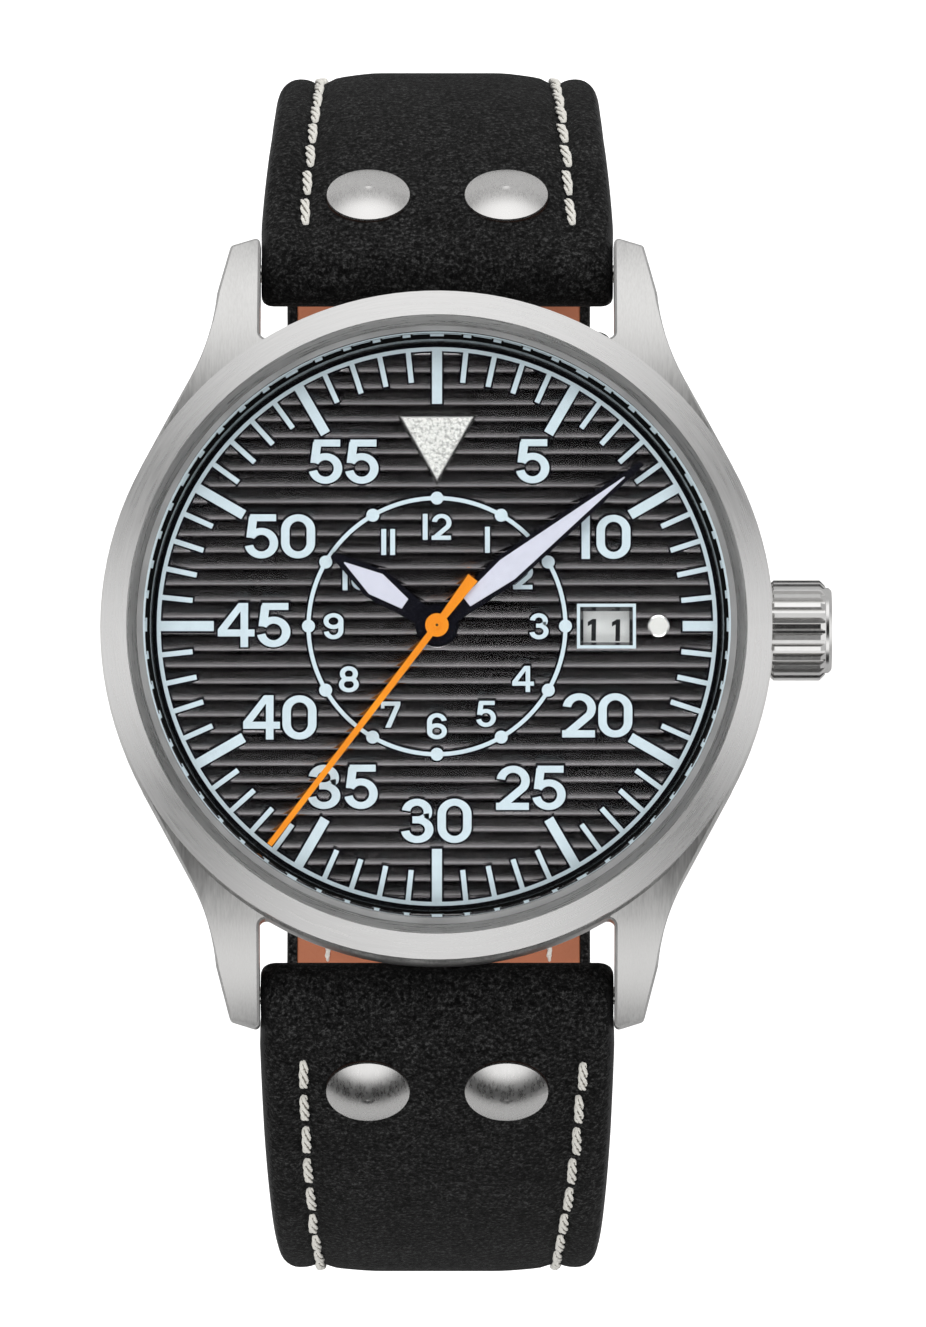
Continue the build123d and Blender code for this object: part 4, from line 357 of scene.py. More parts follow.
STEEL = (0.7, 0.695, 0.685)
RECIPES = (
    (brushed, "case_steel", "long", STEEL, 0.36, 0.15),
    (brushed, "bezel_steel", "ring", (0.7, 0.695, 0.69), 0.29, 0.14),
    (polished, "crown_steel", (0.8, 0.795, 0.785), 0.22),
    (polished, "bright_steel", STEEL, 0.12),
    (brushed, "rivet_steel", "long", (0.78, 0.77, 0.76), 0.28),
    (crystal, "crystal_glass"),
    (plastic, "gasket_grey", grey(0.25), 0.4),
    (plastic, "gasket_black", grey(0.015), 0.5),
    (printed_flange, "flange_black", (0.6, 0.7, 0.76)),
    (ribbed_metal, "dial_black", (0.5, 0.48, 0.49), 0.09),
    (lume, "lume_blue", (0.69, 0.8, 0.86)),
    (lume, "lume_hand", (0.72, 0.72, 0.83)),
    (sandy_metal, "marker_steel", (0.92, 0.91, 0.88)),
    (plastic, "date_disc", (0.9, 0.9, 0.89), 0.5, 1.5e-6),
    (plastic, "hand_black", (0.008, 0.008, 0.012), 0.14, 3e-7, 0.8),
    (plastic, "seconds_orange", (1.0, 0.3, 0.015), 0.4, 1e-6),
    (plastic, "movement_plastic", (0.42, 0.42, 0.4), 0.5),
    (brushed, "movement_nickel", "ring", (0.66, 0.64, 0.58), 0.28),
    (polished, "gear_brass", (0.8, 0.6, 0.28), 0.2),
    (wound, "coil_copper", (0.8, 0.36, 0.16)),
    (plastic, "board_green", (0.01, 0.09, 0.03), 0.35, 4e-6),
    (nubuck, "leather_black"),
    (lining_leather, "leather_brown", (0.47, 0.165, 0.085)),
)
looks = {name: recipe(name, *values) for recipe, name, *values in RECIPES}
thread_cream = thread("thread_cream", (0.88, 0.86, 0.8))
# thread_shade is painted shade for the grooves between the plies, not a colour of the thread.
thread_shade = thread("thread_shade", (0.2, 0.185, 0.155))
rim_brown = plastic("rim_brown", (0.03, 0.013, 0.008), 0.4)
ink_black = plastic("ink_black", (0.01, 0.01, 0.012), 0.45, 1e-6)

for item in nodes.values():
    for holder in item.material_slots:
        slot_name = holder.material.name.split(".")[0]
        if slot_name in looks:
            holder.material = looks[slot_name]


# Meshes
def add_mesh(name, points, faces, body, look, smooth=True):
    """A mesh from points in millimetres. look is a material, or the name of one of the CAD part's."""
    slot = look if isinstance(look, str) else None
    data = bpy.data.meshes.new(name)
    data.from_pydata((np.asarray(points, float) * MM).tolist(), [], faces)
    data.validate()
    net = bmesh.new()
    net.from_mesh(data)
    bmesh.ops.recalc_face_normals(net, faces=net.faces)
    net.to_mesh(data)
    net.free()
    data.materials.append(looks[slot] if slot else look)
    for face in data.polygons:
        face.use_smooth = smooth
    made = bpy.data.objects.new(name, data)
    scene.collection.objects.link(made)
    if body:
        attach(made, body)
    return made


def soften(made, angle):
    """Keeps edges sharper than the angle crisp on a smooth mesh."""
    net = bmesh.new()
    net.from_mesh(made.data)
    limit = math.radians(angle)
    for edge in net.edges:
        edge.smooth = edge.is_manifold and edge.calc_face_angle(0.0) < limit
    net.to_mesh(made.data)
    net.free()


class Build:
    """Gathers many closed pieces into one mesh."""

    def __init__(self):
        self.points = []
        self.faces = []

    def rings(self, rings, closed=False):
        """Skins a row of rings of equally many points, with its ends closed or joined in a loop."""
        count = len(rings[0])
        first, last = len(self.points), len(self.points) + (len(rings) - 1) * count
        for row, ring in enumerate(rings):
            self.points.extend(tuple(p) for p in ring)
            if row == len(rings) - 1 and not closed:
                break
            a, b = first + row * count, first + (row + 1) % len(rings) * count
            for i in range(count):
                j = (i + 1) % count
                self.faces.append((a + i, a + j, b + j, b + i))
        if not closed:
            self.faces.append(tuple(first + i for i in reversed(range(count))))
            self.faces.append(tuple(last + i for i in range(count)))

    def slab(self, outline, low, high):
        """An upright prism of a flat outline."""
        self.rings([[(x, y, z) for x, y in outline] for z in (low, high)])

    def make(self, name, body, look, angle=35.0):
        """Smooth between edges sharper than the angle, or flat on every face where it is None."""
        made = add_mesh(name, self.points, self.faces, body, look, angle is not None)
        if angle is not None:
            soften(made, angle)
        return made


def inset(outline, amount):
    """A closed flat outline moved inwards by an amount."""
    flat = np.asarray(outline, float)
    before, after = np.roll(flat, 1, 0), np.roll(flat, -1, 0)
    area = 0.5 * np.sum(flat[:, 0] * after[:, 1] - after[:, 0] * flat[:, 1])
    side = 1.0 if area > 0 else -1.0

    def normal(a, b):
        step = b - a
        size = np.maximum(np.linalg.norm(step, axis=1), 1e-9)
        return np.c_[-step[:, 1], step[:, 0]] / size[:, None] * side

    total = normal(before, flat) + normal(flat, after)
    scale = 2.0 / np.maximum(np.sum(total * total, axis=1), 0.5)
    return flat + total * scale[:, None] * amount


def circle(count):
    """Even angles once round."""
    return np.linspace(0, 2 * math.pi, count + 1)[:-1]


def rectangle(x0, y0, x1, y1):
    return [(x0, y0), (x1, y0), (x1, y1), (x0, y1)]


def bend(x, y, radius, begin, turn, steps):
    """Points round a corner, from an angle in degrees over a turn."""
    angles = [math.radians(begin + turn * k / steps) for k in range(steps + 1)]
    return [(x + radius * math.cos(a), y + radius * math.sin(a)) for a in angles]


# Strap path: arcs of a radius and a turn in degrees from a start place and slope, then one across the lowest place
ARCS = ((24.3, 15.0), (44.0, 39.0), (19.6, 67.65))
START_Y, START_Z, START_TURN = 22.7, 1.2, math.radians(35.3)


def strap_arcs():
    """Each arc as its distance, radius, heading, Y and Z at the start, and the distance to the lowest place."""
    found = []
    travel, y, z, heading = 0.0, START_Y, START_Z, START_TURN
    for radius, turn in ARCS:
        found.append((travel, radius, heading, y, z))
        after = heading + math.radians(turn)
        y += radius * (math.sin(after) - math.sin(heading))
        z += radius * (math.cos(after) - math.cos(heading))
        travel += radius * math.radians(turn)
        heading = after
    found.append((travel, y / math.sin(math.pi - heading), heading, y, z))
    return found, travel + found[-1][1] * (math.pi - heading)


PATH, HALF = strap_arcs()
LENGTH = 2 * HALF


def loop(s):
    """Place and outward normal on the strap's middle line, as Y, Z, normal Y and normal Z."""
    side = -1 if s > HALF else 1
    t = LENGTH - s if s > HALF else s
    if t < 0:
        sine, cosine = math.sin(START_TURN), math.cos(START_TURN)
        return side * (START_Y + t * cosine), START_Z - t * sine, side * sine, cosine
    begin, radius, start, y, z = [arc for arc in PATH if arc[0] <= t][-1]
    turn = start + (t - begin) / radius
    y += radius * (np.sin(turn) - math.sin(start))
    z += radius * (np.cos(turn) - math.cos(start))
    return side * y, z, side * np.sin(turn), np.cos(turn)


def on_strap(s, x, away, along=0.0):
    """World place from a distance along the strap, X, a height off its middle line and a step along its tangent."""
    y, z, ny, nz = loop(s)
    return (x, y + away * ny + along * nz, z + away * nz - along * ny)


# Strap sizes, with distances from the spring bar at 12 round to the one at 6
THICK = ((0.0, 4.1), (36.0, 3.0), (60.0, 2.6))
WIDTH_BY_HEIGHT = ((-43.8, 10.1), (-25.8, 10.3), (1.2, 11.06))
SWELL_12 = ((2.2, 0), (3.4, 0.1), (5.0, 0.08), (8.0, 0.03), (12.0, -0.05), (15.0, -0.12), (20.0, -0.14),
            (25.0, -0.1), (40.0, 0))
SWELL_6 = ((2.2, 0), (3.4, 0.12), (12.0, 0.14), (20.0, 0.11), (30.0, 0.08), (45.0, 0))
END_BAR, END_PIVOT, PIVOT = 2.05, 1.6, 80.0
TAIL, TAIL_LENGTH, TAIL_HALF, TAIL_THICK, TAIL_EVEN = 50.0, 9.0, 10.0, 2.6, 85.0
LINING, LINE_START, LINE_END = 1.0, 2.7, 77.3
STITCH_IN = 2.7
TAIL_BEND, TAIL_TIP = (3.0, 9.4), 3.5
LANE_LIFT, LANE_RUN, LANE_END = 3.2, 19.0, 103.0
BAR_BORE, BAR_REACH, HOLE_RADIUS, SLOT_HALF, TONGUE_ROOM = 0.8, 14.0, 0.9, 1.25, 3.2
HOLES = (64.7, 71.2, 77.7, 90.7, 97.2, 103.7)
SLOT_BEGIN, SLOT_END, SLOT_LANE = 79.4, 88.2, 84.2


def between(x, table):
    return np.interp(x, *zip(*table))


def smooth_step(x):
    t = min(1.0, max(0.0, x))
    return t * t * (3 - 2 * t)


def thickness(s, long_piece):
    if long_piece and s < TAIL_EVEN:
        return TAIL_THICK
    return float(between(min(s, LENGTH - s), THICK))


def half_width(s):
    swell = between(min(s, LENGTH - s), SWELL_12 if s < HALF else SWELL_6)
    return float(between(loop(s)[1], WIDTH_BY_HEIGHT) + swell)


def edge_at(s, long_piece):
    """Half width of a piece. The one at 6 is straight under the buckle and pointed at its tail."""
    if not long_piece:
        return half_width(s)
    if s >= TAIL + TAIL_LENGTH:
        return half_width(s) if s > PIVOT else TAIL_HALF
    u = np.linspace(0, 1, 40)
    edge_d = (1 - u) ** 2 * TAIL_LENGTH + 2 * u * (1 - u) * TAIL_BEND[0]
    edge_w = (1 - u) ** 2 * TAIL_HALF + 2 * u * (1 - u) * TAIL_BEND[1] + u**2 * TAIL_TIP
    return float(np.interp(s - TAIL, edge_d[::-1], edge_w[::-1]))


def lane(s):
    """How far the piece at 6 lies off the middle line, where it goes over the piece at 12."""
    t = min(1.0, max(0.0, (LANE_END - s) / LANE_RUN))
    return LANE_LIFT * (3 * t * t - 2 * t**3)


def padding(s, long_piece):
    """How far the middle stands over the edges, and the depth of the stitch channel."""
    t = min(s, LENGTH - s)
    most = 0.26 if long_piece else 0.4
    fade = 1 - smooth_step((t - 34.0) / 22.0)
    begin = smooth_step((t + 0.5) / 5.0)
    return (0.1 + (most - 0.1) * fade) * (0.35 + 0.65 * begin), (0.12 + (most - 0.12) * fade) * begin


def top_height(x, s, w, half, long_piece):
    """Height of the upper face above the middle line at X, away from the rolled corner."""
    rise, deep = padding(s, long_piece)
    e = w - abs(x)
    pad = rise * smooth_step((e - STITCH_IN + 0.35) / 4.2)
    channel = deep * math.exp(-(((e - STITCH_IN) / 0.62) ** 2))
    return half - rise + pad - channel


def strap_ring(s, w, half, long_piece, recess, away=0.0, margin=0.65):
    """One closed cross-section of the outer leather, rolled at its edges and hollow for the lining."""
    rise = padding(s, long_piece)[0]
    roll = min(1.3, 0.62 * 2 * half, w * 0.5)
    under = min(0.35, 0.3 * half)
    corner = bend(-w + under, -half + under, under, 270, -90, 3)
    corner += bend(-w + roll, half - rise - roll, roll, 180, -90, 7)
    span = np.linspace(-1, 1, 39)[1:-1]
    across = [float(u * (w - roll)) for u in np.sign(span) * (1 - (1 - np.abs(span)) ** 1.35)]
    flat = corner + [(x, top_height(x, s, w, half, long_piece)) for x in across]
    flat += [(-x, o) for x, o in reversed(corner)]
    m, bed = w - margin, -half + recess
    flat += [(m, -half), (m * 0.998, bed), (0.0, bed), (-m * 0.998, bed), (-m, -half)]
    return [on_strap(s, x, o + away) for x, o in flat]


def lining_ring(s, w, half, away=0.0):
    """One closed cross-section of the lining."""
    m, low, high, soft = w - 0.67, -half, -half + LINING - 0.02, 0.12
    flat = [(-m + soft, low), (-m, low + soft), (-m, high), (0, high), (m, high), (m, low + soft), (m - soft, low)]
    flat += [(m * k, low - 0.02 * (1 - k * k)) for k in (0.7, 0.35, 0.0, -0.35, -0.7)]
    return [on_strap(s, x, o + away) for x, o in flat]


def clearance_cut(made, cutters):
    """Takes the cutters' closed meshes out of a piece."""
    tool = add_mesh("cutters", cutters.points, cutters.faces, None, made.data.materials[0], False)
    cut = made.modifiers.new("cut", "BOOLEAN")
    cut.operation = "DIFFERENCE"
    cut.solver = "EXACT"
    cut.object = tool
    graph = bpy.context.evaluated_depsgraph_get()
    fresh = bpy.data.meshes.new_from_object(made.evaluated_get(graph))
    made.modifiers.clear()
    made.data = fresh
    bpy.data.objects.remove(tool)


def across_bore(cutters, s):
    """The round bore for a bar, along X."""
    y, z = loop(s)[:2]
    cutters.rings([[(x, y + BAR_BORE * math.cos(a), z + BAR_BORE * math.sin(a)) for a in circle(28)]
                   for x in (-BAR_REACH, BAR_REACH)])


def through_cut(cutters, s, away, reach, outline):
    """A hole through the strap's thickness, with its outline in X and along the strap."""
    cutters.rings([[on_strap(s, x, o, u) for x, u in outline] for o in (away - reach, away + reach)])


def round_cut(cutters, begin, end, half, away, reach):
    """A round hole, or a slot with round ends."""
    straight = max(0.0, 0.5 * (end - begin) - half)
    outline = []
    for k in range(28):
        a = 2 * math.pi * (k + 0.5) / 28
        u = half * math.sin(a) + (straight if math.sin(a) > 0 else -straight)
        outline.append((half * math.cos(a), u))
    through_cut(cutters, 0.5 * (begin + end), away, reach, outline)


def tail_cuts(cutters):
    """The strap holes, and the slot that the tongue comes through."""
    for s in HOLES:
        round_cut(cutters, s - HOLE_RADIUS, s + HOLE_RADIUS, HOLE_RADIUS, lane(s), 2.4)
    round_cut(cutters, SLOT_BEGIN, SLOT_END, SLOT_HALF, lane(SLOT_LANE), 2.6)


def strap_stations(begin, end, step, extra=()):
    count = max(2, int(round((end - begin) / step)) + 1)
    return sorted(set(np.round(np.linspace(begin, end, count), 4)) | set(extra))


def plan_corner(from_end, corner=1.6):
    """How far a rounded corner, seen from above, draws the edge in."""
    u = min(corner, max(0.0, corner - from_end))
    return corner - math.sqrt(max(0.0, corner * corner - u * u))


def rounded_end(centre, way, radius, angles, long_piece, corner=1.6):
    """Cross-sections round a bar at the end of a piece."""
    found = []
    for a in angles:
        d = radius * math.sin(math.radians(a))
        half = math.sqrt(max(0.0, radius * radius - d * d))
        w = half_width(centre + way * d) - plan_corner(radius - d, corner)
        found.append(strap_ring(centre + way * d, w, half, long_piece, 0.0))
    return found


# The piece at 12, from its spring bar to the buckle bar
short_outer = Build()
rings = rounded_end(0.0, -1, END_BAR, np.linspace(84, 6, 12), False)
lining_ends = (LINE_START - 0.01, LINE_START + 0.01, LINE_END - 0.01, LINE_END + 0.01)
for s in strap_stations(0.0, 78.0, 0.8, lining_ends) + [78.6, 79.2, 79.7]:
    half = 0.5 * thickness(s, False)
    half += (END_PIVOT - half) * smooth_step((s - 77.2) / 2.4)
    recess = LINING if LINE_START < s < LINE_END else 0.0
    rings.append(strap_ring(s, half_width(s) - plan_corner(END_BAR + s), half, False, recess))
rings += rounded_end(PIVOT, 1, END_PIVOT, np.linspace(6, 82, 11), False, 0.7)
short_outer.rings(rings)
short_piece = short_outer.make("strap_12_leather", "case", "leather_black", 50)
cutters = Build()
across_bore(cutters, 0.0)
across_bore(cutters, PIVOT)
clearance_cut(short_piece, cutters)
cutters = Build()
through_cut(cutters, PIVOT, 0.0, 4.0, rectangle(-SLOT_HALF, -TONGUE_ROOM, SLOT_HALF, TONGUE_ROOM))
clearance_cut(short_piece, cutters)
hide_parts("strap_12_outer")

# The piece at 6, from the pointed tail round to its spring bar
long_outer = Build()
rings = []
for s in strap_stations(TAIL, TAIL + TAIL_LENGTH, 0.5, (TAIL + 0.12,)):
    d = s - TAIL
    drawn_in = 0.55 if d < 0.1 else (0.2 if d < 0.3 else 0.0)
    w = edge_at(s, True) - drawn_in * 0.6
    half = 0.5 * thickness(s, True) - drawn_in * 0.6
    rings.append(strap_ring(s, w, half, True, LINING - drawn_in, lane(s), 0.5))
lining_ends = (LENGTH - LINE_START + 0.01, LENGTH - LINE_START - 0.01)
for s in strap_stations(TAIL + 9.6, LENGTH - 0.2, 0.8, lining_ends):
    w = edge_at(s, True) - plan_corner(END_BAR + LENGTH - s)
    recess = LINING if s < LENGTH - LINE_START else 0.0
    rings.append(strap_ring(s, w, 0.5 * thickness(s, True), True, recess, lane(s)))
rings += rounded_end(LENGTH, 1, END_BAR, np.linspace(6, 84, 12), True)
long_outer.rings(rings)
long_piece = long_outer.make("strap_6_leather", "case", "leather_black", 50)
cutters = Build()
across_bore(cutters, LENGTH)
tail_cuts(cutters)
clearance_cut(long_piece, cutters)
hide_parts("strap_6_outer")

short_lining = Build()
short_lining.rings([
    lining_ring(s, half_width(s), 0.5 * thickness(s, False))
    for s in strap_stations(LINE_START + 0.03, LINE_END - 0.03, 1.0)
])
lining_12 = short_lining.make("strap_12_lining_leather", "case", "leather_brown")
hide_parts("strap_12_lining")
long_lining = Build()
long_lining.rings([
    lining_ring(s, edge_at(s, True), 0.5 * thickness(s, True), lane(s))
    for s in strap_stations(TAIL + 0.5, LENGTH - LINE_START - 0.03, 0.8)
])
lining_6 = long_lining.make("strap_6_lining_leather", "case", "leather_brown")
cutters = Build()
tail_cuts(cutters)
clearance_cut(lining_6, cutters)
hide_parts("strap_6_lining")
for piece in (short_piece, long_piece, lining_12, lining_6):
    for face in piece.data.polygons:
        face.use_smooth = True
    soften(piece, 50)


# Stitching
def stitch(build, place, length, slant, radius=0.3, twist=1.1, sides=12, steps=18, bow=0.3, sink=0.1, core=0.0):
    """One stitch of three-ply thread. place(u, x, o) gives a world point from local lengths.

    With core set, it is a round core at that share of the thread's radius instead. Its dark colour shows between the
    plies as painted shade in the grooves.
    """
    rings = []
    for k in range(steps + 1):
        t = 0.5 - 0.5 * math.cos(math.pi * k / steps)
        far = abs(2 * t - 1)
        size = radius * (0.25 + 0.75 * math.sqrt(max(0.0, 1 - far**4)))
        o = bow * (1 - far**5) - sink
        ring = []
        for j in range(sides):
            a = 2 * math.pi * (j / sides + twist * t)
            ply = abs(math.cos(3 * math.pi * j / sides))
            r = size * (core or 0.5 + 0.56 * ply**0.8)
            ring.append(place((t - 0.5) * length, slant * (t - 0.5) + r * math.cos(a), o + 0.85 * r * math.sin(a)))
        rings.append(ring)
    build.rings(rings)


def row_place(s, x, away, below=False):
    """Maps a stitch's own lengths to the world at a place on the strap."""

    def place(u, dx, o):
        lift = away(s + u, x + dx)
        return on_strap(s + u, x + dx, lift - o if below else lift + o)

    return place


def stitch_rows(name, long_piece):
    """The two rows of one strap piece, with the thread's lower side on the lining."""
    tops, unders, groove_shades = Build(), Build(), Build()
    pick = random.Random(12 if long_piece else 6)

    def lift(s):
        return lane(s) if long_piece else 0.0

    def spot(s):
        return edge_at(s, long_piece) - STITCH_IN

    def above(s, x):
        return top_height(x, s, spot(s) + STITCH_IN, 0.5 * thickness(s, long_piece), long_piece) + lift(s)

    def under(s, x):
        return -0.5 * thickness(s, long_piece) + lift(s)

    places = []
    d, pitch, last = (5.0, 3.0, LENGTH - TAIL - 3.0) if long_piece else (4.2, 3.2, 75.0)
    while d < last:
        places.append((d, pitch))
        d += pitch
        pitch = min(pitch + 0.25, 4.0) if long_piece else 3.42
    for side in (-1, 1):
        for d, pitch in places:
            s = LENGTH - d if long_piece else d
            size = pitch * (0.8 if long_piece else 0.84) + pick.uniform(-0.12, 0.12)
            x = side * (spot(s) + (0.75 * (1 - smooth_step(d / 30.0)) if long_piece and side > 0 else 0.0))
            x += pick.uniform(-0.06, 0.06)
            lean = pick.uniform(-0.1, 0.1) if long_piece else pick.uniform(-0.3, -0.1)
            curve = side * (spot(s + 0.5) - spot(s - 0.5)) * size
            turn = 0.95 + pick.uniform(-0.1, 0.1)
            stitch(tops, row_place(s, x, above), size, lean + curve, twist=turn)
            # A dark core under the plies shows between them as painted shade in the thread's grooves.
            stitch(groove_shades, row_place(s, x, above), 0.97 * size, lean + curve, sides=10, steps=10, core=0.72)
            if 3.5 < min(s, LENGTH - s):
                stitch(unders, row_place(s + 0.5 * pitch, x, under, True), 0.62 * pitch, curve,
                       radius=0.2, twist=1.0, sides=9, steps=7, bow=0.1, sink=0.06)
    tops.make(name, "case", thread_cream)
    groove_shades.make(name + "_groove_shade", "case", thread_shade)
    unders.make(name + "_under", "case", thread_cream)


stitch_rows("strap_12_stitching", False)
stitch_rows("strap_6_stitching", True)


# Keepers
def keeper(name, s, node, body):
    """A rounded leather band round both strap ends."""
    low, high, thick, wide, corner = -1.95, 4.8, 1.2, 5.0, 1.0
    side, middle, up = 10.3 - corner, 0.5 * (low + high), 0.5 * (high - low) - corner
    path = []
    for cx, cy, start in ((side, up, 0), (-side, up, 90), (-side, -up, 180), (side, -up, 270)):
        for k in range(9):
            a = math.radians(start + 90 * k / 8)
            path.append((cx, cy + middle, math.cos(a), math.sin(a)))
    around = []
    for (x, o, nx, no), (x1, o1, _, _) in zip(path, path[1:] + path[:1]):
        parts = 12 if math.hypot(x1 - x, o1 - o) > 2 else 1
        for f in (j / parts for j in range(parts)):
            around.append((x + (x1 - x) * f + corner * nx, o + (o1 - o) * f + corner * no, nx, no))
    r, edge = 0.42, 0.5 * wide
    section = bend(edge - r, thick - r, r, 0, 90, 5) + bend(-edge + r, thick - r, r, 90, 90, 5)
    section += [(-edge, 0.1), (-edge + 0.1, 0.0), (edge - 0.1, 0.0), (edge, 0.1)]
    rings = []
    for x, o, nx, no in around:
        ring = []
        for u, n in section:
            groove = 0.09 * math.exp(-(((abs(u) - 1.75) / 0.22) ** 2)) if n > thick - 0.02 else 0.0
            ring.append(on_strap(s, x + nx * (n - groove), o + no * (n - groove), u))
        rings.append(ring)
    build = Build()
    build.rings(rings, closed=True)
    made = build.make(name, body, "leather_black", 50)
    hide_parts(node)


keeper("fixed_keeper_leather", 73.0, "fixed_keeper", "case")
keeper("free_keeper_leather", 64.5, "free_keeper", "free_keeper")


# Dial markings
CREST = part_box("dial")[1].z / MM
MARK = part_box("minute_track")[1].z / MM
BED = MARK - 0.05
BED_EDGE = 0.12
FOOT = CREST - 0.12
PEN_WIDE, PEN_HIGH = 0.19, 0.155
NUMERAL = 0.76


def pen_edge(path, wide, high, grow):
    """Left and right edges of a stroke drawn with an oval pen."""
    p = np.asarray(path, float)
    step = np.gradient(p, axis=0)
    step /= np.maximum(np.linalg.norm(step, axis=1), 1e-9)[:, None]
    n = np.c_[-step[:, 1], step[:, 0]]
    a, b = 0.5 * wide + grow, 0.5 * high + grow
    size = np.sqrt((a * n[:, 0]) ** 2 + (b * n[:, 1]) ** 2)
    shift = np.c_[a * a * n[:, 0], b * b * n[:, 1]] / size[:, None]
    return p + shift, p - shift


def arc(cx, cy, rx, ry, begin, end, count=30):
    a = np.radians(np.linspace(begin, end, count))
    return np.c_[cx + rx * np.cos(a), cy + ry * np.sin(a)]


def line(a, b):
    t = np.linspace(0, 1, 8)[:, None]
    return np.asarray(a) * (1 - t) + np.asarray(b) * t


def joined(*parts):
    """Paths end to end, without points that lie on each other."""
    points = np.vstack(parts)
    keep = [0]
    for k in range(1, len(points)):
        if np.linalg.norm(points[k] - points[keep[-1]]) > 0.004:
            keep.append(k)
    return points[keep]


def numeral_shapes():
    """Each numeral one unit high: closed strokes, open strokes, flat polygons and its width."""
    one = PEN_WIDE * 0.98
    zero = joined(arc(0.38, 0.64, 0.29, 0.282, 0, 180), arc(0.38, 0.36, 0.29, 0.282, 180, 360))[:-1]
    two = arc(0.385, 0.66, 0.28, 0.262, 172, -38)
    three_high = joined(arc(0.3525, 0.70, 0.2475, 0.222, 172, -30), arc(0.3525, 0.70, 0.2475, 0.177, -30, -90, 12),
                        line((0.3525, 0.523), (0.25, 0.523)))
    three_low = joined(line((0.25, 0.523), (0.3575, 0.523)), arc(0.3575, 0.30, 0.2725, 0.223, 90, -172, 40))
    four = [(0.0, 0.33), (0.0, 0.40), (0.47, 1.0), (0.60, 1.0), (0.60, 0.93), (0.19, 0.38), (0.19, 0.33)]
    six = arc(0.38, 0.305, 0.285, 0.227, 0, 360, 45)[:-1]
    six_neck = joined(arc(0.38, 0.655, 0.285, 0.267, 12, 180), line((0.095, 0.655), (0.095, 0.305)))
    seven = [(0.545, 0.86), (0.74, 0.86), (0.37, 0.0), (0.165, 0.0)]
    eight = [arc(0.38, 0.71, 0.25, 0.213, 0, 360, 41)[:-1], arc(0.38, 0.30, 0.285, 0.222, 0, 360, 45)[:-1]]
    upset = np.array([NUMERAL, 1])
    return {
        "0": ([zero], [], [], NUMERAL),
        "1": ([], [], [rectangle(0, 0, one, 1)], one),
        "2": ([], [joined(two, line(two[-1], (0.13, 0.1)))], [rectangle(0.0, 0, 0.74, 0.16)], NUMERAL),
        "3": ([], [three_high, three_low], [], NUMERAL),
        "4": ([], [], [rectangle(0, 0.243, 0.83, 0.40), rectangle(0.514, 0.0, 0.684, 1.0), four], 0.83),
        "5": ([], [line((0.185, 0.94), (0.125, 0.47)), arc(0.37, 0.345, 0.285, 0.268, 150, -168, 44)],
              [rectangle(0.115, 0.845, 0.703, 1.0)], NUMERAL),
        "6": ([six], [six_neck], [], NUMERAL),
        "7": ([], [], [rectangle(0.0, 0.845, 0.74, 1.0), rectangle(0.0, 0.74, 0.13, 0.9), seven], NUMERAL),
        "8": (eight, [], [], NUMERAL),
        "9": ([upset - six], [upset - six_neck], [], NUMERAL),
    }


NUMERALS = numeral_shapes()


def turned(p, turn, centre):
    """Flat points turned about the origin and moved to a centre."""
    c, s = math.cos(turn), math.sin(turn)
    return np.c_[centre[0] + p[:, 0] * c - p[:, 1] * s, centre[1] + p[:, 0] * s + p[:, 1] * c]


def draw(build, text, centre, height, low, high, grow=0.0, gap=0.062, turn=0.0, pen_high=PEN_HIGH):
    """Numerals as raised strokes. grow widens every stroke, in millimetres."""
    gaps = [0.156 if "1" in pair else gap for pair in zip(text[:-1], text[1:])] + [0.0]
    more = grow / height
    x = -0.5 * (sum(NUMERALS[c][3] for c in text) + sum(gaps))
    layer = 0

    def placed(points):
        return turned((np.asarray(points, float) + [x, -0.5]) * height, turn, centre)

    def beyond(end, before):
        return end + (end - before) / max(1e-9, np.linalg.norm(end - before)) * more

    for character, space in zip(text, gaps):
        closed, opened, flats, wide = NUMERALS[character]
        for path, is_closed in [(path, True) for path in closed] + [(path, False) for path in opened]:
            if is_closed:
                path = np.vstack([path[-2:], path, path[:2]])
            elif more:
                path = np.vstack([beyond(path[0], path[1]), path, beyond(path[-1], path[-2])])
            left, right = pen_edge(path, PEN_WIDE, pen_high, more)
            if is_closed:
                left, right = left[2:-2], right[2:-2]
            top = high + 0.004 * layer
            layer = (layer + 1) % 3
            rings = [[(*l, low), (*l, top), (*r, top), (*r, low)] for l, r in zip(placed(left), placed(right))]
            build.rings(rings, closed=is_closed)
        for flat in flats:
            outline = inset(flat, -more) if more else flat
            build.slab(placed(outline), low, high + 0.004 * layer)
            layer = (layer + 1) % 3
        x += wide + space


# Places of the numerals' middles in the 926 by 1327 frame, the dial's middle there, and its pixels to the millimetre
MINUTES = (("5", 533, 461.6), ("10", 605.9, 537.5), ("20", 597, 716.4), ("25", 531, 789), ("30", 436.4, 822),
           ("35", 343.4, 788), ("40", 280, 718.5), ("45", 254.5, 626), ("50", 280, 537), ("55", 344, 462))
HOURS = (("12", 437.1, 527.5), ("11", 388.2, 542.7), ("1", 487.4, 540.5), ("2", 523, 577), ("3", 539.5, 627.2),
         ("4", 523, 680), ("5", 486.2, 715), ("6", 437, 727.3), ("7", 391, 715.7), ("8", 349, 680.3),
         ("9", 333.6, 627.1), ("10", 357, 578))
MIDDLE_X, MIDDLE_Y, PER_MM = 437.0, 627.0, 16.05
MINUTE_SIZE, HOUR_SIZE = 2.75, 1.62

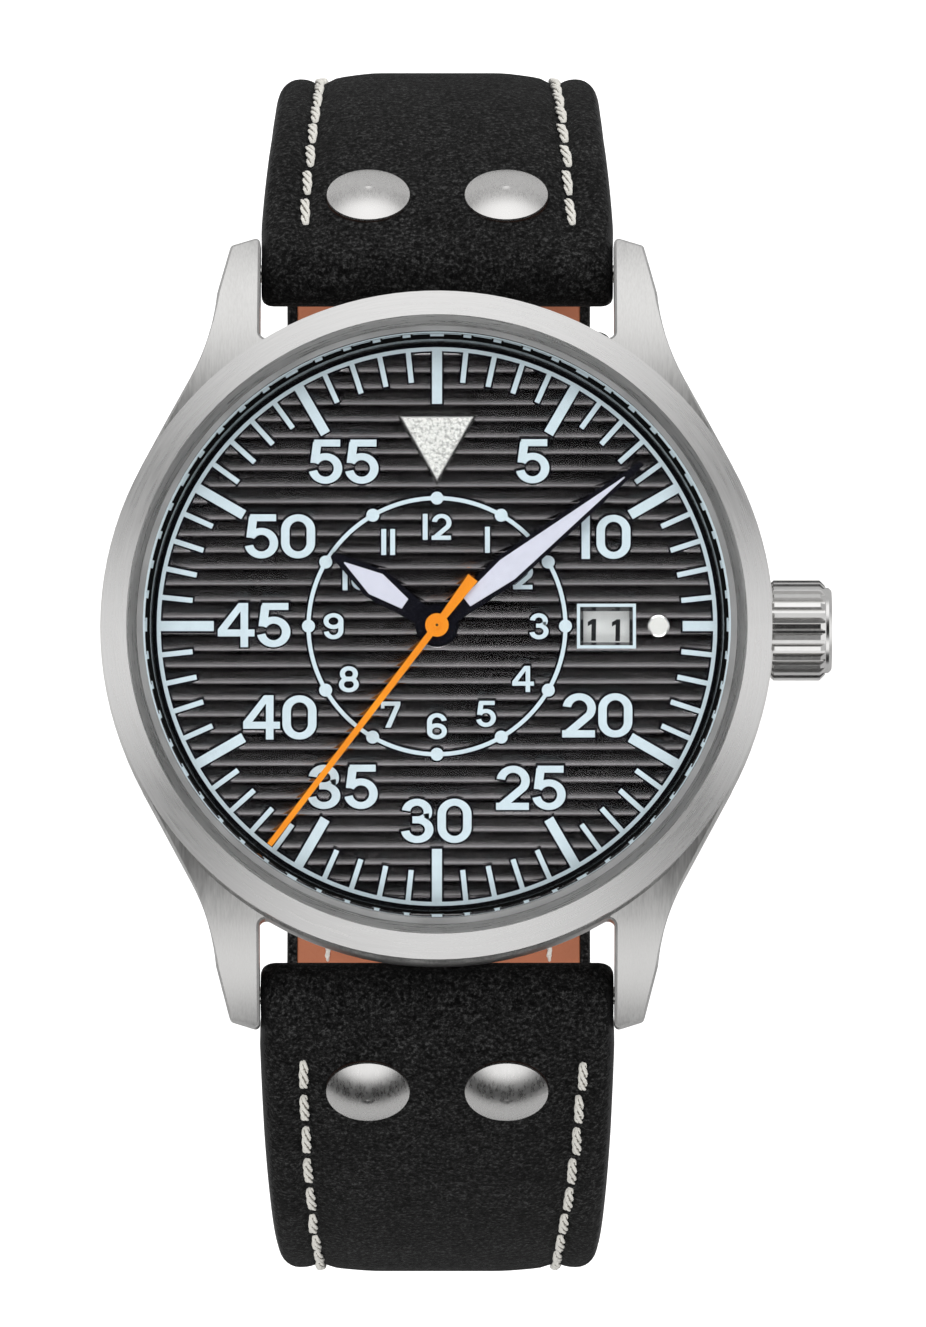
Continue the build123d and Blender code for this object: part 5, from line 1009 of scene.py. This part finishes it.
# Under each marking lies a black piece a little wider than it, which shows as a thin dark outline round it.
numerals, beds = Build(), Build()
for marks, size, gap, edge in ((MINUTES, MINUTE_SIZE, 0.062, BED_EDGE), (HOURS, HOUR_SIZE, 0.09, BED_EDGE * 0.85)):
    for text, px, py in marks:
        centre = ((px - MIDDLE_X) / PER_MM, (MIDDLE_Y - py) / PER_MM)
        draw(numerals, text, centre, size, CREST - 0.1, MARK, 0.0, gap)
        draw(beds, text, centre, size, FOOT, BED, edge, gap)
numerals.make("dial_numerals", "case", "lume_blue", None)


def ring_bed(inner, outer):
    rings = []
    for k in range(180):
        a = 2 * math.pi * k / 180
        corners = ((inner, FOOT), (inner, BED - 0.003), (outer, BED - 0.003), (outer, FOOT))
        rings.append([(r * math.cos(a), r * math.sin(a), z) for r, z in corners])
    beds.rings(rings, closed=True)


LONG_WIDE, SHORT_WIDE, LONG_FROM, SHORT_FROM, MARKS_TO = 0.62, 0.31, 13.9, 15.3, 17.3
TRACK_IN, TRACK_OUT, HOUR_RING, HOUR_HALF, DOT = 17.2, 17.45, 8.0, 0.125, 0.4
for k in range(60):
    a = math.radians(90 - 6 * k)
    five = k % 5 == 0
    wide = (LONG_WIDE if five else SHORT_WIDE) * 0.5 + BED_EDGE
    inner = (LONG_FROM if five and k != 15 else SHORT_FROM) - BED_EDGE
    c, s = math.cos(a), math.sin(a)
    corners = ((inner, wide), (inner, -wide), (MARKS_TO, -wide), (MARKS_TO, wide))
    beds.slab([(r * c - w * s, r * s + w * c) for r, w in corners], FOOT, BED + 0.003)
ring_bed(TRACK_IN - BED_EDGE, TRACK_OUT + BED_EDGE)
ring_bed(HOUR_RING - HOUR_HALF - BED_EDGE, HOUR_RING + HOUR_HALF + BED_EDGE)
for k in range(12):
    t = math.radians(90 - 30 * k)
    a, x, y, r = circle(32), HOUR_RING * math.cos(t), HOUR_RING * math.sin(t), DOT + BED_EDGE
    beds.slab(np.c_[x + r * np.cos(a), y + r * np.sin(a)], FOOT, BED + 0.003)
beds.make("dial_marking_edges", "case", "hand_black", None)

# Polished rims of the applied markers
TRIANGLE, ROUND_X = [(-2.5, 13.2), (2.5, 13.2), (0.0, 8.8)], 13.8
rims = Build()
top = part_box("triangle_marker")[1].z / MM
rings = []
for o, i in zip(inset(TRIANGLE, -0.02), inset(TRIANGLE, 0.2)):
    crown = (*(0.35 * o + 0.65 * i), top + 0.035)
    rings.append([(*o, CREST - 0.05), (*o, top + 0.01), crown, (*i, top + 0.01), (*i, top - 0.05)])
rims.rings(rings, closed=True)
section = ((0.675, CREST - 0.05), (0.675, top + 0.005), (0.63, top + 0.03), (0.58, top + 0.005), (0.58, top - 0.05))
rims.rings([[(ROUND_X + r * math.cos(t), r * math.sin(t), z) for r, z in section] for t in circle(48)],
           closed=True)
rims.make("marker_rims", "case", "bright_steel", 20)

# Black lacquered slope from the date frame down to its opening
WINDOW_X, OPENING, WINDOW = 10.55, (1.445, 0.99), (1.645, 1.205)
SLOPE_LOW, SKIN = CREST - 0.41, 0.015
slope = Build()
rings = []
for sx, sy in ((1, 1), (-1, 1), (-1, -1), (1, -1)):
    section = []
    for skin in (-SKIN, SKIN):
        low, high = [side + skin for side in OPENING], [side + skin for side in WINDOW]
        face = [(*low, SLOPE_LOW - 0.1), (*low, SLOPE_LOW), (*high, CREST + 0.004)]
        section += face if skin < 0 else face[::-1]
    rings.append([(WINDOW_X + sx * x, sy * y, z) for x, y, z in section])
slope.rings(rings, closed=True)
slope.make("date_window_slope", "case", "hand_black", None)

# Printed numbers on the date ring
DATE_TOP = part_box("date_ring")[1].z / MM
DATE_ONE = [(0.07, 0.0), (0.28, 0.0), (0.28, 1.0), (0.12, 1.0), (-0.1, 0.86), (-0.1, 0.66), (0.07, 0.76)]
DATE_REACH, DATE_SIZE, DATE_SHOWN, DATE_SHIFT = 10.42, 1.36, 11, 0.0165
dates = Build()
for day in range(1, 32):
    turn = 2 * math.pi * (day - DATE_SHOWN) / 31 - DATE_SHIFT
    for character, x in zip(str(day), [0.0] if day < 10 else [-0.75, 0.75]):
        if character == "1":
            flat = (np.asarray(DATE_ONE) + [0.0, -0.5]) * DATE_SIZE + [x - 0.14, 0.0]
            flat = turned(flat, turn, (DATE_REACH * math.cos(turn), DATE_REACH * math.sin(turn)))
            dates.slab(flat, DATE_TOP - 0.01, DATE_TOP + 0.006)
        else:
            centre = ((DATE_REACH + x) * math.cos(turn), (DATE_REACH + x) * math.sin(turn))
            draw(dates, character, centre, DATE_SIZE, DATE_TOP - 0.01, DATE_TOP + 0.006, turn=turn, pen_high=0.15)
dates.make("date_numbers", "date_ring", ink_black, None)

# Dark brown rims round the foot of each rivet head
RIVETS, RIVET_X = (4.9, LENGTH - 5.9), 4.35
rims = Build()
for s in RIVETS:
    half = 0.5 * thickness(s, s > HALF)
    for x in (-RIVET_X, RIVET_X):
        rings = []
        for k in range(56):
            t = 2 * math.pi * k / 56
            section = ((2.5, -0.25), (2.5, 0.03), (2.57, 0.035), (2.62, 0.0), (2.62, -0.25))
            rings.append([on_strap(s, x + r * math.cos(t), half + o, r * math.sin(t)) for r, o in section])
        rims.rings(rings, closed=True)
rims.make("rivet_rims", "case", rim_brown, 25)


# Camera, light and floor
def white_floor():
    """Pale grey that looks white to the camera, straight on and through the crystal."""
    look = Look("floor", Base_Color=(0.45, 0.45, 0.45, 1.0), Roughness=0.9, Specular_IOR_Level=0.1,
                Emission_Color=(1.0, 1.0, 1.0, 1.0))
    rays = look.node("ShaderNodeLightPath").outputs
    look.feed("Emission Strength", look.math("MAXIMUM", rays["Is Camera Ray"], rays["Is Transmission Ray"]))
    return look.material


FLOOR_HALF = 320.0
floor_z = cad_box[0][2] / MM - 0.05
corners = [(x, y, floor_z) for x, y in rectangle(-FLOOR_HALF, -FLOOR_HALF, FLOOR_HALF, FLOOR_HALF)]
floor = add_mesh("floor", corners, [(0, 1, 2, 3)], None, white_floor(), False)

# The photograph's camera: 926 by 1327 pixels, with its focal length in pixels, looking down at the dial from 6
FOCAL, FRAME_HEIGHT, SENSOR, TILT, AWAY = 12840.0, 1327.0, 36.0, math.radians(4.4), 0.8
eye = bpy.data.objects.new("camera", bpy.data.cameras.new("camera"))
scene.collection.objects.link(eye)
eye.data.sensor_fit = "VERTICAL"
eye.data.sensor_height = SENSOR
eye.data.lens = FOCAL / FRAME_HEIGHT * SENSOR
eye.data.clip_start = 0.01
eye.data.clip_end = 20.0
aim = Vector((26.0 / PER_MM * MM, -36.5 / PER_MM * MM, 0.0066))
eye.location = aim + AWAY * Vector((0.0, -math.sin(TILT), math.cos(TILT)))
eye.rotation_euler = (TILT, 0.0, 0.0)
scene.camera = eye


def lamp(name, place, size, power):
    """A soft box that faces the watch and isn't mirrored in it."""
    light = bpy.data.lights.new(name, "AREA")
    light.shape = "RECTANGLE"
    light.size, light.size_y = size
    light.energy = power
    made = bpy.data.objects.new(name, light)
    scene.collection.objects.link(made)
    made.location = place
    made.visible_glossy = False
    made.rotation_euler = (-Vector(place)).to_track_quat("-Z", "Y").to_euler()


lamp("lamp_top", (-0.1, 0.7, 0.6), (1.0, 0.5), 4.6)
lamp("lamp_front", (0.05, -0.7, 0.7), (1.0, 0.4), 4.6)


def studio():
    """A round studio: soft boxes towards 12, 3, 6 and 9 with darker gaps, dark right overhead."""
    world = bpy.data.worlds.new("studio")
    world.use_nodes = True
    scene.world = world
    look = Graph(world.node_tree)
    sky = look.tree.nodes["Background"]
    parts = look.split(look.place("Generated"))
    north = look.split(look.vector("NORMALIZE", look.join(parts["X"], parts["Y"])))["Y"]
    lobes = look.ramp(look.times(north, north),
                      (0.0, 0.83), (0.1, 0.62), (0.25, 0.24), (0.5, 0.53), (0.75, 0.81), (1.0, 0.93))
    rise = look.ramp(parts["Z"], (0.0, 1.0), (0.77, 1.0), (0.85, 0.8), (0.9, 0.4), (0.925, 0.16), (0.95, 0.035),
                     (0.97, 0.008), (0.985, 0.0))
    level = look.times(look.times(lobes, rise), look.math("MULTIPLY_ADD", north, 0.02, 1.3))
    for low_rise, high_rise, facing, past, share in ((0.3, 0.54, -0.8, -0.2, 1.0), (0.12, 0.38, 0.8, 0.2, 0.6)):
        gap = look.times(look.spread(parts["Z"], 1.0, 0.0, low_rise, high_rise),
                         look.spread(north, 1.0, 0.0, facing, past))
        level = look.times(level, look.math("MULTIPLY_ADD", gap, -share, 1.0))
    seen = look.node("ShaderNodeLightPath").outputs["Is Camera Ray"]
    look.tree.links.new(look.mix("FLOAT", seen, level, 1.0), sky.inputs["Strength"])
    sky.inputs["Color"].default_value = (1.0, 1.0, 1.0, 1.0)


studio()
scene.view_settings.view_transform = "Standard"
